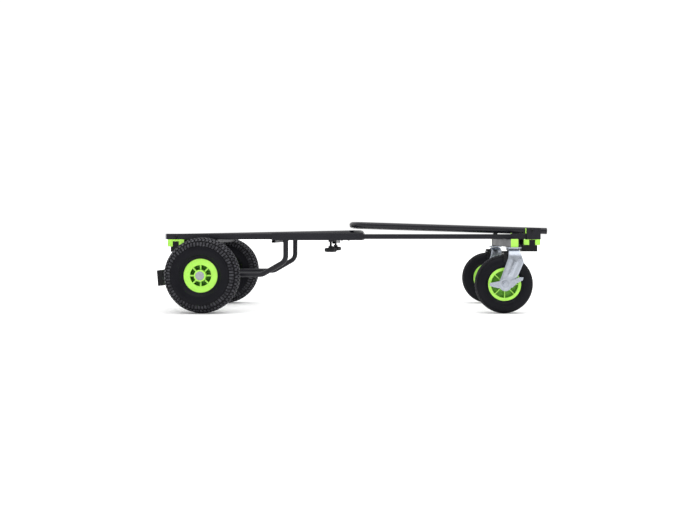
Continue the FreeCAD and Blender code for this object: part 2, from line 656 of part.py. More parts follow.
def tyre(wheel):
    outside = revolved(tyre_section(wheel.tyre_radius, wheel.tyre_half, wheel.shoulder_radius,
                                    wheel.shoulder_half, wheel.bead_half, wheel.rim_radius))
    hollow = revolved(tyre_section(wheel.tyre_radius - TYRE_WALL, wheel.tyre_half - TYRE_WALL,
                                   wheel.shoulder_radius - TYRE_WALL, wheel.shoulder_half - TYRE_WALL,
                                   wheel.bead_half - TYRE_WALL, wheel.rim_radius - 1.0))
    return outside.cut(hollow)


def disc(radius, y_low, y_high):
    return rod(radius, (0, y_low, 0), (0, y_high, 0))


def rim(wheel):
    """Moulded rim: hub, barrel, middle web and face rings, with straight ribs from the hub to the barrel."""
    barrel_inner = wheel.rim_radius - RIM_BARREL_WALL
    body = disc(wheel.rim_radius, -wheel.face_half, wheel.face_half)
    for side in (-1, 1):
        near = side * RIM_WEB_HALF
        far = side * (wheel.face_half - RIM_FACE_THICKNESS)
        face = side * wheel.face_half
        body = body.cut(disc(barrel_inner, near, far))
        body = body.cut(disc(wheel.pocket_radius, far, face))
    hub = disc(wheel.hub_radius, -wheel.hub_half, wheel.hub_half)
    body = body.fuse(hub)
    for index in range(RIB_COUNT):
        rib = box((0, barrel_inner + 1.0), (-wheel.face_half + 1.0, wheel.face_half - 1.0),
                  (-wheel.rib_width / 2, wheel.rib_width / 2))
        rib.rotate(Vector(0, 0, 0), Vector(0, 1, 0), 90 + index * 360 / RIB_COUNT)
        body = body.fuse(rib)
    seat_depth = BEARING_INSET + wheel.bearing_width
    body = body.cut(disc(wheel.bore_radius + 2.0, -wheel.hub_half, wheel.hub_half))
    for side in (-1, 1):
        seat_end = side * (wheel.hub_half - seat_depth - 0.2)
        body = body.cut(disc(wheel.bearing_radius + RUNNING_GAP, seat_end, side * wheel.hub_half))
    return body.removeSplitter()


def hub_cap(wheel):
    """Cap over the outer end of a rear hub, on the +Y side."""
    flange = disc(HUB_CAP_RADIUS, wheel.hub_half, wheel.hub_half + HUB_CAP_STEP)
    dome = Part.makeCone(HUB_CAP_DOME_RADIUS, HUB_CAP_TOP_RADIUS, HUB_CAP_STEP,
                         Vector(0, wheel.hub_half + HUB_CAP_STEP, 0), Vector(0, 1, 0))
    skirt = ring(wheel.bearing_radius, wheel.bearing_radius - 2.0, (0, wheel.hub_half - HUB_CAP_SKIRT, 0),
                 (0, wheel.hub_half, 0))
    return flange.fuse(dome).fuse(skirt)


def on_rear_axle(shape, side):
    """Place a left wheel's piece on the axle, or turn it over for the right wheel."""
    shape.translate(Vector(AXLE_X, WHEEL_Y, AXLE_Z))
    if side < 0:
        shape = mirrored(shape)
    return shape


# Casters, drawn with the kingpin on the Z axis

FORK_OUTLINE = [(-20.0, CROWN_TOP), (17.0, CROWN_TOP), (30.0, 176.0), (10.0, 130.0), (-13.5, 92.0),
                (-53.5, 92.0), (-52.0, 112.0), (-23.0, 190.0)]


# The lever's two arms, measured from the axle
LEVER_OUTLINE = [(-53.0, 5.5), (-53.0, -5.0), (-24.0, -12.0), (24.0, -10.0), (38.0, 4.0), (59.0, 15.0),
                 (61.0, 25.0), (46.0, 25.0), (24.0, 15.0), (-20.0, 12.0)]


def bent_strip(half_width, shoulder_z, crown_half, crown_z, bottom_z):
    """Section of a folded strip: two legs, two sloping shoulders and a crown, filled in."""
    points = [(-half_width, bottom_z), (-half_width, shoulder_z), (-crown_half, crown_z),
              (crown_half, crown_z), (half_width, shoulder_z), (half_width, bottom_z)]
    corners = [Vector(-80, y, z) for y, z in points]
    return Part.Face(Part.makePolygon(corners + corners[:1])).extrude(Vector(160, 0, 0))


def caster_fork():
    """Pressed fork: crown plate on the kingpin, sloping shoulders and two legs down to the axle."""
    thick = FORK_THICKNESS
    strip = bent_strip(FORK_HALF_WIDTH, FORK_SHOULDER_Z, CROWN_HALF_WIDTH, CROWN_TOP, 70.0)
    inside = bent_strip(FORK_HALF_WIDTH - thick, FORK_SHOULDER_Z - 1.0, CROWN_HALF_WIDTH - 1.4,
                        CROWN_TOP - thick, 60.0)
    outline = plate(FORK_OUTLINE, -40.0, 40.0)
    axle_start, axle_end = [(-CASTER_TRAIL, y, CASTER_AXLE_Z) for y in (-40.0, 40.0)]
    outline = outline.fuse(rod(FORK_BOSS_RADIUS, axle_start, axle_end))
    fork = strip.cut(inside).common(outline)
    fork = fork.cut(rod(KINGPIN_RADIUS + RUNNING_GAP, (0, 0, CROWN_TOP - 10.0), (0, 0, CROWN_TOP + 1.0)))
    fork = fork.cut(rod(CASTER_WHEEL.bore_radius, axle_start, axle_end))
    pin_ends = [(SHOE_PIN_X, y, SHOE_PIN_Z) for y in (-SHOE_PIN_HALF_LENGTH, SHOE_PIN_HALF_LENGTH)]
    return fork.fuse(rod(SHOE_PIN_RADIUS, pin_ends[0], pin_ends[1]))


def caster_axle():
    """Bolt with a head on the left, a nut on the right and a spacer beside each bearing."""
    x, z = -CASTER_TRAIL, CASTER_AXLE_Z
    radius = CASTER_WHEEL.bore_radius
    leg_inner = FORK_HALF_WIDTH - FORK_THICKNESS
    nut_face = LEVER_Y[0] - PIVOT_SIDE_GAP
    bolt = rod(radius, (x, nut_face, z), (x, FORK_HALF_WIDTH, z))
    head_end = FORK_HALF_WIDTH + CASTER_BOLT_HEAD_HEIGHT
    head = rod(CASTER_BOLT_HEAD_RADIUS, (x, FORK_HALF_WIDTH, z), (x, head_end, z))
    corners = []
    for corner in range(7):
        angle = math.radians(60 * corner)
        corners.append(Vector(x + CASTER_NUT_RADIUS * math.cos(angle), nut_face - CASTER_NUT_HEIGHT,
                              z + CASTER_NUT_RADIUS * math.sin(angle)))
    nut = Part.Face(Part.makePolygon(corners)).extrude(Vector(0, CASTER_NUT_HEIGHT, 0))
    bolt = bolt.fuse(head).fuse(nut)
    bearing_end = CASTER_WHEEL.hub_half - BEARING_INSET
    for side in (-1, 1):
        spacer_ends = [(x, side * y, z) for y in (bearing_end, leg_inner)]
        bolt = bolt.fuse(ring(CASTER_SPACER_RADIUS, radius, spacer_ends[0], spacer_ends[1]))
    return bolt


def caster_bearings():
    return Part.makeCompound(bearing_pair(CASTER_WHEEL, -CASTER_TRAIL, 0, CASTER_AXLE_Z))


def caster_kingpin():
    """Race cup under the mounting plate and the pin through the fork's crown."""
    cup = rod(RACE_RADIUS, (0, 0, CROWN_TOP + SWIVEL_GAP), (0, 0, PLATE_BOTTOM))
    pin_end = CROWN_TOP - KINGPIN_HEAD_DROP
    pin = rod(KINGPIN_RADIUS, (0, 0, pin_end), (0, 0, CROWN_TOP + 1.0))
    head = rod(KINGPIN_HEAD_RADIUS, (0, 0, pin_end), (0, 0, CROWN_TOP - FORK_THICKNESS - PIVOT_SIDE_GAP))
    return cup.fuse(pin).fuse(head)


def caster_plate():
    return box(PLATE_X, PLATE_Y, (PLATE_BOTTOM, CROSS_TUBE_BOTTOM))


def caster_plate_bolts():
    """Bolt heads under the plate's corners."""
    heads = []
    for x in (PLATE_X[0] + PLATE_BOLT_INSET, PLATE_X[1] - PLATE_BOLT_INSET):
        for y in (PLATE_Y[0] + PLATE_BOLT_INSET_Y, PLATE_Y[1] - PLATE_BOLT_INSET_Y):
            head_bottom = PLATE_BOTTOM - PLATE_BOLT_HEIGHT
            heads.append(rod(PLATE_BOLT_RADIUS, (x, y, head_bottom), (x, y, PLATE_BOTTOM)))
    return heads


def brake_lever():
    """Foot lever on the axle, outside the right leg: a boss, a long front arm and a short rear arm."""
    arms = plate([(x - CASTER_TRAIL, z + CASTER_AXLE_Z) for x, z in LEVER_OUTLINE], LEVER_Y[0], LEVER_Y[1])
    near, far = [(-CASTER_TRAIL, y, CASTER_AXLE_Z) for y in LEVER_Y]
    boss = rod(LEVER_BOSS_RADIUS, near, far)
    hole = rod(CASTER_WHEEL.bore_radius + RUNNING_GAP, near, far)
    return arms.fuse(boss).cut(hole)


def brake_shoe():
    """Shoe over the tyre with a flange down each side, hinged on the fork's pin."""
    shoe = box(SHOE_X, (-SHOE_FLANGE_Y, SHOE_FLANGE_Y), SHOE_Z)
    for side in (-1, 1):
        flange_y = sorted((side * SHOE_FLANGE_Y, side * (SHOE_FLANGE_Y - SHOE_FLANGE_THICKNESS)))
        shoe = shoe.fuse(box(SHOE_X, flange_y, (SHOE_FLANGE_BOTTOM, SHOE_Z[0] + 1.0)))
        lug_y = sorted(side * y for y in SHOE_LUG_Y)
        shoe = shoe.fuse(box((SHOE_X[0], SHOE_PIN_X), lug_y, (SHOE_Z[1] - 1.0, SHOE_PIN_Z + SHOE_LUG_RADIUS)))
        barrel_ends = [(SHOE_PIN_X, y, SHOE_PIN_Z) for y in lug_y]
        shoe = shoe.fuse(rod(SHOE_LUG_RADIUS, barrel_ends[0], barrel_ends[1]))
    hole_ends = [(SHOE_PIN_X, y, SHOE_PIN_Z) for y in (-SHOE_PIN_HALF_LENGTH, SHOE_PIN_HALF_LENGTH)]
    pin_hole = rod(SHOE_PIN_RADIUS + RUNNING_GAP, hole_ends[0], hole_ends[1])
    return shoe.cut(pin_hole)


def on_caster_wheel(shape):
    shape.translate(Vector(-CASTER_TRAIL, 0, CASTER_AXLE_Z))
    return shape


def at_caster(shape, side):
    shape.translate(Vector(KINGPIN_X, side * CASTER_Y, 0))
    return shape


# Frame-lock knob

def frame_knob():
    """Lobed knob with a collar and a screw that reaches up to the front rail."""
    head = rod(KNOB_RADIUS, (KNOB_X, RAIL_Y, KNOB_BOTTOM), (KNOB_X, RAIL_Y, KNOB_TOP))
    for index in range(KNOB_LOBES):
        angle = 2 * math.pi * index / KNOB_LOBES
        x = KNOB_X + (KNOB_RADIUS + KNOB_FLUTE_REACH) * math.cos(angle)
        y = RAIL_Y + (KNOB_RADIUS + KNOB_FLUTE_REACH) * math.sin(angle)
        head = head.cut(rod(KNOB_FLUTE_RADIUS, (x, y, KNOB_BOTTOM - 1.0), (x, y, KNOB_TOP + 1.0)))
    collar_top = KNOB_TOP + KNOB_COLLAR_HEIGHT
    collar = rod(KNOB_COLLAR_RADIUS, (KNOB_X, RAIL_Y, KNOB_TOP), (KNOB_X, RAIL_Y, collar_top))
    screw = rod(KNOB_SCREW_RADIUS, (KNOB_X, RAIL_Y, KNOB_TOP), (KNOB_X, RAIL_Y, FRONT_RAIL_BOTTOM - 0.3))
    return head.fuse(collar).fuse(screw)


def side_pieces():
    """Pieces with one node on each side: name and left-hand shape."""
    return {"rear_rail": rear_rail(), "sleeve": sleeve(), "axle_brace": axle_brace(), "front_rail": front_rail(),
            "frame_knob": frame_knob(), "rear_latch": latch(REAR_LOCK), "front_latch": latch(FRONT_LOCK)}


def group_pieces():
    """Pieces with one node for the whole cart."""
    return {"sleeve_rivets": sleeve_rivets(), "rear_cross_bars": rear_cross_bars(),
            "rail_end_plugs": rail_end_plugs(), "foot_bar": foot_bar(), "foot_bar_caps": foot_bar_caps(),
            "rear_axle": rear_axle(), "axle_nuts": axle_nuts(), "rear_wheel_bearings": rear_wheel_bearings(),
            "rear_pivot_bolts": rear_pivot_bolts(), "rear_rest_pads": rear_rest_pads(),
            "rear_lock_saddles": both_sides(lock_saddle(REAR_LOCK)),
            "front_cross_bar": front_cross_bar(), "caster_cross_tube": caster_cross_tube(),
            "caster_tube_caps": caster_tube_caps(), "handle_brackets": both_sides(handle_bracket()),
            "bracket_liners": bracket_liners(), "front_pivot_bolts": front_pivot_bolts(),
            "front_rest_pad": front_rest_pad(), "front_lock_saddles": both_sides(lock_saddle(FRONT_LOCK)),
            "front_handle": front_handle(), "front_handle_plugs": front_handle_plugs(),
            "rear_handle": rear_handle(), "rear_handle_plugs": rear_handle_plugs()}


def wheel_pieces(side):
    return {"rear_tyre": on_rear_axle(tyre(REAR_WHEEL), side), "rear_rim": on_rear_axle(rim(REAR_WHEEL), side),
            "hub_cap": on_rear_axle(hub_cap(REAR_WHEEL), side)}


def caster_pieces(side):
    pieces = {"caster_fork": caster_fork(), "caster_axle": caster_axle(), "caster_bearings": caster_bearings(),
              "caster_tyre": on_caster_wheel(tyre(CASTER_WHEEL)), "caster_rim": on_caster_wheel(rim(CASTER_WHEEL)),
              "brake_lever": brake_lever(), "brake_shoe": brake_shoe()}
    return {name: at_caster(shape, side) for name, shape in pieces.items()}


def caster_groups():
    """Fixed caster pieces that both casters share a node for."""
    kingpins = []
    plates = []
    bolts = []
    for side in (-1, 1):
        kingpins.append(at_caster(caster_kingpin(), side))
        plates.append(at_caster(caster_plate(), side))
        bolts += [at_caster(head, side) for head in caster_plate_bolts()]
    return {"caster_kingpins": Part.makeCompound(kingpins), "caster_plates": Part.makeCompound(plates),
            "caster_plate_bolts": Part.makeCompound(bolts)}


def all_pieces():
    pieces = group_pieces()
    pieces.update(caster_groups())
    for name, shape in side_pieces().items():
        pieces[name + "_left"] = shape
        pieces[name + "_right"] = mirrored(shape)
    for side, word in ((1, "left"), (-1, "right")):
        for name, shape in {**wheel_pieces(side), **caster_pieces(side)}.items():
            pieces[name + "_" + word] = shape
    return pieces


os.makedirs("parts", exist_ok=True)
for node, piece in all_pieces().items():
    piece.exportStep("parts/" + node + ".step")
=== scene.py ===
import json
import math
from collections import namedtuple

import bmesh
import bpy
from mathutils import Matrix, Vector


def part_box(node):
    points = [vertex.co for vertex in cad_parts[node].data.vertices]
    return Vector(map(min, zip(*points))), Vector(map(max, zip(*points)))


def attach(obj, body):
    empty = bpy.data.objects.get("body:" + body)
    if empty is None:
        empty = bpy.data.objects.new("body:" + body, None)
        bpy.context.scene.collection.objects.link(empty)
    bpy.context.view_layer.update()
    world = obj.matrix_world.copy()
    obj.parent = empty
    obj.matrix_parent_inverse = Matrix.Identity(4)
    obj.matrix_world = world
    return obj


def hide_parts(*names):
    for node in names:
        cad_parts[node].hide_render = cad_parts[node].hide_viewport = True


# Looks for the extendable transport cart. Metres, in the CAD frame: +X to the casters, +Y left, +Z up.

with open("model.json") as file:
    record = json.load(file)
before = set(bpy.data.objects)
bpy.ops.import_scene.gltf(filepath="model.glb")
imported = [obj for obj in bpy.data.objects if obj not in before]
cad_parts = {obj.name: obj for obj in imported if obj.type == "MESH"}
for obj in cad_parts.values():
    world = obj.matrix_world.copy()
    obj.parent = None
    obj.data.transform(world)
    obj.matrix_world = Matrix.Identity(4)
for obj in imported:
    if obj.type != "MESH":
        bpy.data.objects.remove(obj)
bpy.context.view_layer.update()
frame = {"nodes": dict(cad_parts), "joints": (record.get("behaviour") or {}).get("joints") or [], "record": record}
joints = {joint["name"]: joint for joint in frame["joints"]}

SIDES = {"left": 1, "right": -1}
Y_AXIS = Vector((0, 1, 0))
Z_AXIS = Vector((0, 0, 1))
MM = 0.001
TINY = 1e-7
SHARP_ANGLE = math.radians(32)
FULL_TURN = 2 * math.pi
BLOCK_TOP = "block_top"
# How far a rounded normal agrees with the real one on flat faces and at edges; the edges get wear on most
# materials and a painted highlight on the green plastic
EDGE_AGREEMENT = (0.985, 0.80)
# How open to its surroundings a surface is where the recess mask starts and where it is full; the mask lays dirt
# on some materials and painted shade on the green plastic
DIRT_AND_SHADE_OPENNESS = (0.85, 0.25)


# Shader nodes

def add(tree, kind, inputs=None, **settings):
    """A new node; an input is either a plain value or another node's output."""
    node = tree.nodes.new(kind)
    for name, value in settings.items():
        setattr(node, name, value)
    for name, value in (inputs or {}).items():
        if isinstance(value, bpy.types.NodeSocket):
            tree.links.new(value, node.inputs[name])
        else:
            node.inputs[name].default_value = value
    return node


def noise(tree, size, detail=3.0, stretch=(1, 1, 1)):
    """Noise from 0 to 1 with features of about that size in metres, longer where stretch is larger."""
    place = add(tree, "ShaderNodeTexCoord").outputs["Object"]
    if stretch != (1, 1, 1):
        shrink = [1 / share for share in stretch]
        place = add(tree, "ShaderNodeMapping", {"Vector": place, "Scale": shrink}).outputs["Vector"]
    inputs = {"Vector": place, "Scale": 1 / size, "Detail": detail}
    return add(tree, "ShaderNodeTexNoise", inputs).outputs["Fac"]


def cells(tree, size, output="Color"):
    """A pattern of cells of about that size in metres."""
    place = add(tree, "ShaderNodeTexCoord").outputs["Object"]
    return add(tree, "ShaderNodeTexVoronoi", {"Vector": place, "Scale": 1 / size}).outputs[output]


def spread(tree, value, low, high, new_low=0.0, new_high=1.0):
    """The value with low to high stretched to new_low to new_high."""
    inputs = {"Value": value, "From Min": low, "From Max": high, "To Min": new_low, "To Max": new_high}
    return add(tree, "ShaderNodeMapRange", inputs).outputs["Result"]


def times(tree, first, second):
    return add(tree, "ShaderNodeMath", {0: first, 1: second}, operation="MULTIPLY").outputs[0]


def plus(tree, first, second):
    return add(tree, "ShaderNodeMath", {0: first, 1: second}, operation="ADD").outputs[0]


def mix(tree, share, first, second):
    """A colour that goes from first to second as share goes from 0 to 1."""
    node = add(tree, "ShaderNodeMix", {0: share}, data_type="RGBA")
    for index, colour in ((6, first), (7, second)):
        if isinstance(colour, bpy.types.NodeSocket):
            tree.links.new(colour, node.inputs[index])
        else:
            node.inputs[index].default_value = (*colour, 1)
    return node.outputs[2]


def edges(tree, radius):
    """1 along edges and 0 on flat faces, from how far a rounded normal leans away from the real one."""
    rounded = add(tree, "ShaderNodeBevel", {"Radius": radius}, samples=4).outputs["Normal"]
    normal = add(tree, "ShaderNodeNewGeometry").outputs["Normal"]
    dot = add(tree, "ShaderNodeVectorMath", {0: rounded, 1: normal}, operation="DOT_PRODUCT")
    return spread(tree, dot.outputs["Value"], *EDGE_AGREEMENT)


def recess(tree, distance):
    """1 deep in corners and grooves and 0 on open surfaces."""
    open_share = add(tree, "ShaderNodeAmbientOcclusion", {"Distance": distance}, samples=4, only_local=True)
    return spread(tree, open_share.outputs["AO"], *DIRT_AND_SHADE_OPENNESS)


def start_material(name, values):
    """A material whose shader has these plain values on its own sockets."""
    material = bpy.data.materials.new(name)
    material.use_nodes = True
    shader = material.node_tree.nodes["Principled BSDF"]
    for socket, value in values.items():
        shader.inputs[socket].default_value = value
    return material, material.node_tree, shader


def connect(tree, shader, colour, roughness, height, depth):
    """Link a colour, a roughness and a bump whose height is given in metres."""
    bump = add(tree, "ShaderNodeBump", {"Height": height, "Distance": depth, "Strength": 1.0})
    tree.links.new(colour, shader.inputs["Base Color"])
    tree.links.new(roughness, shader.inputs["Roughness"])
    tree.links.new(bump.outputs["Normal"], shader.inputs["Normal"])


# Materials, one for each of the record's slots

def frame_paint():
    """Satin black powder coat with fine orange peel, faint handling marks and rubbed edges."""
    material, tree, shader = start_material("frame_paint", {"IOR": 1.45, "Specular IOR Level": 0.34})
    clouds = noise(tree, 0.09, 4)
    marks = noise(tree, 0.012, 6, (4, 1, 1))
    colour = mix(tree, clouds, (0.004, 0.004, 0.007), (0.010, 0.010, 0.015))
    rubbed = times(tree, edges(tree, 1.2 * MM), spread(tree, noise(tree, 0.02, 6), 0.42, 0.62, 0.05, 0.6))
    colour = mix(tree, rubbed, colour, (0.035, 0.035, 0.040))
    roughness = plus(tree, spread(tree, clouds, 0.3, 0.7, 0.34, 0.44), spread(tree, marks, 0.5, 0.8, 0, 0.12))
    connect(tree, shader, colour, roughness, noise(tree, 1.6 * MM, 2), 0.12 * MM)
    return material


def handle_paint():
    """Glossier black enamel on the bent handles, with long faint rubs from hands."""
    material, tree, shader = start_material("handle_paint", {"IOR": 1.48, "Specular IOR Level": 0.32})
    rubs = noise(tree, 0.03, 5, (6, 1, 1))
    colour = mix(tree, rubs, (0.003, 0.003, 0.006), (0.009, 0.009, 0.013))
    roughness = spread(tree, rubs, 0.35, 0.7, 0.20, 0.32)
    connect(tree, shader, colour, roughness, noise(tree, 2.4 * MM, 2), 0.10 * MM)
    return material


def black_plastic():
    """Moulded black nylon with a fine spark-eroded grain and paler worn corners."""
    material, tree, shader = start_material("black_plastic", {"IOR": 1.46, "Specular IOR Level": 0.22})
    clouds = noise(tree, 0.02, 4)
    colour = mix(tree, clouds, (0.003, 0.003, 0.004), (0.008, 0.008, 0.009))
    colour = mix(tree, times(tree, edges(tree, 1.0 * MM), clouds), colour, (0.024, 0.024, 0.026))
    roughness = spread(tree, clouds, 0.3, 0.7, 0.42, 0.58)
    connect(tree, shader, colour, roughness, cells(tree, 0.7 * MM, "Distance"), 0.10 * MM)
    return material


def grey_plastic():
    """Light grey polypropylene for the rail plugs and hub caps."""
    material, tree, shader = start_material("grey_plastic", {"IOR": 1.49})
    clouds = noise(tree, 0.01, 4)
    colour = mix(tree, clouds, (0.27, 0.28, 0.30), (0.36, 0.37, 0.39))
    colour = mix(tree, times(tree, recess(tree, 2 * MM), clouds), colour, (0.12, 0.12, 0.12))
    roughness = spread(tree, clouds, 0.3, 0.7, 0.35, 0.5)
    connect(tree, shader, colour, roughness, cells(tree, 0.8 * MM, "Distance"), 0.06 * MM)
    return material


def green_plastic():
    """Lime green glass-filled nylon: slight flow clouds, fine grain, painted shade as a deep green wherever the
    part closes round itself, and painted highlights as paler green along its edges.
    """
    values = {"IOR": 1.49, "Subsurface Weight": 0.08, "Subsurface Scale": 2 * MM, "Specular IOR Level": 0.35}
    material, tree, shader = start_material("green_plastic", values)
    clouds = noise(tree, 0.025, 4)
    colour = mix(tree, clouds, (0.36, 0.78, 0.075), (0.46, 0.86, 0.13))
    # Painted shade: the colour turns deep green wherever the part's own surfaces hem it in within 25 mm
    painted_shade = times(tree, recess(tree, 25 * MM), spread(tree, noise(tree, 0.006, 5), 0.3, 0.7, 0.75, 1.0))
    colour = mix(tree, painted_shade, colour, (0.045, 0.27, 0.006))
    # Painted highlight: edges turn pale yellow-green, as if they caught the light
    colour = mix(tree, times(tree, edges(tree, 0.8 * MM), clouds), colour, (0.62, 0.95, 0.32))
    roughness = plus(tree, spread(tree, clouds, 0.3, 0.7, 0.30, 0.42), times(tree, painted_shade, 0.25))
    connect(tree, shader, colour, roughness, cells(tree, 0.9 * MM, "Distance"), 0.07 * MM)
    return material


def tyre_rubber():
    """Black rubber: tops of the tread blocks paler grey, partly wear and partly a painted sheen of overhead light,
    dark grooves, and a faint bloom on the walls.
    """
    material, tree, shader = start_material("tyre_rubber", {"IOR": 1.45, "Specular IOR Level": 0.15})
    bloom = noise(tree, 0.05, 5)
    dust = times(tree, recess(tree, 5 * MM), spread(tree, noise(tree, 0.008, 5), 0.3, 0.7, 0.2, 0.8))
    colour = mix(tree, bloom, (0.002, 0.002, 0.004), (0.006, 0.006, 0.009))
    colour = mix(tree, dust, colour, (0.012, 0.011, 0.011))
    block_top = add(tree, "ShaderNodeAttribute", attribute_name=BLOCK_TOP).outputs["Fac"]
    # Block tops turn grey for wear and for a painted sheen that stands in for the gloss of light on them
    worn_and_sheen = times(tree, block_top, spread(tree, noise(tree, 0.010, 5), 0.38, 0.62, 0.15, 1.0))
    colour = mix(tree, worn_and_sheen, colour, (0.055, 0.055, 0.063))
    roughness = plus(tree, spread(tree, bloom, 0.3, 0.7, 0.40, 0.54), times(tree, dust, 0.3))
    connect(tree, shader, colour, roughness, noise(tree, 0.9 * MM, 4), 0.10 * MM)
    return material


def zinc():
    """Zinc-plated pressed steel: soft spangle, drawn lines and duller patches."""
    material, tree, shader = start_material("zinc", {"Metallic": 1.0})
    spangle = cells(tree, 5 * MM)
    lines = noise(tree, 1.2 * MM, 3, (1, 1, 14))
    patches = noise(tree, 0.018, 5)
    tone = plus(tree, times(tree, spangle, 0.35), times(tree, patches, 0.65))
    colour = mix(tree, tone, (0.31, 0.34, 0.39), (0.52, 0.55, 0.61))
    # Darker grey in tight recesses, where the patches noise allows
    recess_darkening = times(tree, recess(tree, 3 * MM), spread(tree, patches, 0.35, 0.65, 0.2, 0.8))
    colour = mix(tree, recess_darkening, colour, (0.24, 0.23, 0.22))
    roughness = plus(tree, spread(tree, patches, 0.3, 0.7, 0.20, 0.34), times(tree, lines, 0.08))
    height = plus(tree, times(tree, lines, 0.6), times(tree, patches, 0.4))
    connect(tree, shader, colour, roughness, height, 0.06 * MM)
    return material


def black_steel():
    """Black oxide steel with bare edges, on the bolts and brake shoes."""
    material, tree, shader = start_material("black_steel", {"Metallic": 0.3, "Specular IOR Level": 0.3})
    patches = noise(tree, 0.006, 5)
    colour = mix(tree, patches, (0.002, 0.002, 0.003), (0.008, 0.008, 0.010))
    colour = mix(tree, times(tree, edges(tree, 0.7 * MM), patches), colour, (0.10, 0.10, 0.105))
    roughness = spread(tree, patches, 0.3, 0.7, 0.30, 0.46)
    connect(tree, shader, colour, roughness, noise(tree, 0.8 * MM, 3), 0.05 * MM)
    return material


def bearing_steel():
    """Bright turned steel with an oily dark tint in its grooves."""
    material, tree, shader = start_material("bearing_steel", {"Metallic": 1.0})
    film = noise(tree, 0.004, 4)
    colour = mix(tree, film, (0.55, 0.56, 0.58), (0.72, 0.72, 0.74))
    colour = mix(tree, recess(tree, 2 * MM), colour, (0.08, 0.07, 0.06))
    roughness = spread(tree, film, 0.3, 0.7, 0.14, 0.28)
    connect(tree, shader, colour, roughness, noise(tree, 0.6 * MM, 3, (1, 8, 1)), 0.02 * MM)
    return material


materials = {make.__name__: make() for make in (frame_paint, handle_paint, black_plastic, grey_plastic,
                                                green_plastic, tyre_rubber, zinc, black_steel, bearing_steel)}


# Mesh building

def joint_place(name):
    """A joint's point; a joint on the middle plane has y 0."""
    return Vector(joints[name]["pos_m"])


def spans(node, axis, gap):
    """Where a node's separate parts lie along one axis: (low, high) for each run with no gap that wide."""
    values = sorted(vertex.co[axis] for vertex in frame["nodes"][node].data.vertices)
    found = [[values[0], values[0]]]
    for value in values:
        if value - found[-1][1] > gap:
            found.append([value, value])
        found[-1][1] = value
    return found


def placed(centre, axis):
    """The transform that takes the Z axis to a place and a direction."""
    return Matrix.Translation(centre) @ axis.to_track_quat("Z", "Y").to_matrix().to_4x4()


def bridge(bm, first, second):
    """Faces between two rings; a ring of one vertex closes the shape to a point."""
    if len(first) == 1 and len(second) == 1:
        return
    count = max(len(first), len(second))
    for index in range(count):
        after = (index + 1) % count
        corners = [first[index % len(first)], first[after % len(first)],
                   second[after % len(second)], second[index % len(second)]]
        bm.faces.new(dict.fromkeys(corners))


def lathe(bm, profile, centre, axis=Y_AXIS, segments=48, closed=False, lobes=0, lobe_share=0.0):
    """Turn (radius, height) points about an axis; lobes pull the radius in between grips."""
    matrix = placed(centre, axis)
    rings = []
    for radius, height in profile:
        if radius < TINY:
            rings.append([bm.verts.new(matrix @ Vector((0, 0, height)))])
            continue
        ring = []
        for index in range(segments):
            angle = FULL_TURN * index / segments
            reach = radius * (1 - lobe_share * (1 - math.cos(lobes * angle)) / 2)
            place = Vector((reach * math.cos(angle), reach * math.sin(angle), height))
            ring.append(bm.verts.new(matrix @ place))
        rings.append(ring)
    for first, second in zip(rings, rings[1:]):
        bridge(bm, first, second)
    if closed:
        bridge(bm, rings[-1], rings[0])


def rod_profile(radius, low, high, rounding):
    """Outline of a turned rod with rounded ends."""
    inset = 0.3 * rounding
    return [(0, low), (radius - rounding, low), (radius - inset, low + inset), (radius, low + rounding),
            (radius, high - rounding), (radius - inset, high - inset), (radius - rounding, high), (0, high)]


def hexagon(bm, centre, axis, radius, low, high):
    """A nut or a bolt head with chamfered corners."""
    chamfer = 0.12 * radius
    lathe(bm, rod_profile(radius, low, high, chamfer), centre, axis, segments=6)


def button_head(bm, centre, axis, radius, low, height):
    """A domed screw head with a socket in it."""
    socket = 0.42 * radius
    dome = [(radius * math.cos(turn), low + height * math.sin(turn))
            for turn in (math.radians(angle) for angle in (0, 15, 32, 50, 62))]
    profile = [(0, low), (radius, low), *dome, (socket, low + height), (socket, low + 0.35 * height),
               (0, low + 0.3 * height)]
    lathe(bm, profile, centre, axis, segments=36)


def rounded_block(bm, low, high, rounding):
    """A box with rounded edges between two corners."""
    made = bmesh.ops.create_cube(bm, size=1)
    size = Vector(high) - Vector(low)
    middle = (Vector(high) + Vector(low)) / 2
    fitted = Matrix.Translation(middle) @ Matrix.Diagonal((*size, 1))
    bmesh.ops.transform(bm, matrix=fitted, verts=made["verts"])
    sides = list({edge for vertex in made["verts"] for edge in vertex.link_edges})
    bmesh.ops.bevel(bm, geom=sides, offset=rounding, segments=3, profile=0.5, affect="EDGES")


def weld_bead(bm, points, radius, closed=False):
    """A rippled bead of weld along a line of points."""
    ripple = 1.6 * MM
    path = [Vector(point) for point in points]
    if closed:
        path.append(path[0])
    samples = []
    for start, end in zip(path, path[1:]):
        steps = max(1, round((end - start).length / (ripple / 4)))
        samples += [(start.lerp(end, step / steps), (end - start).normalized()) for step in range(steps)]
    if not closed:
        samples.append((path[-1], (path[-1] - path[-2]).normalized()))
    rings = []
    for index, (place, direction) in enumerate(samples):
        swell = radius * (0.86 + 0.14 * math.cos(FULL_TURN * index / 4))
        matrix = placed(place, direction)
        rings.append([bm.verts.new(matrix @ Vector((swell * math.cos(turn), swell * math.sin(turn), 0)))
                      for turn in (FULL_TURN * corner / 8 for corner in range(8))])
    for first, second in zip(rings, rings[1:]):
        bridge(bm, first, second)
    if closed:
        bridge(bm, rings[-1], rings[0])
    else:
        bm.faces.new(rings[0])
        bm.faces.new(rings[-1])


def circle(centre, axis, radius, count=40):
    """Points round a circle that faces along an axis."""
    matrix = placed(Vector(centre), axis)
    return [matrix @ Vector((radius * math.cos(turn), radius * math.sin(turn), 0))
            for turn in (FULL_TURN * index / count for index in range(count))]


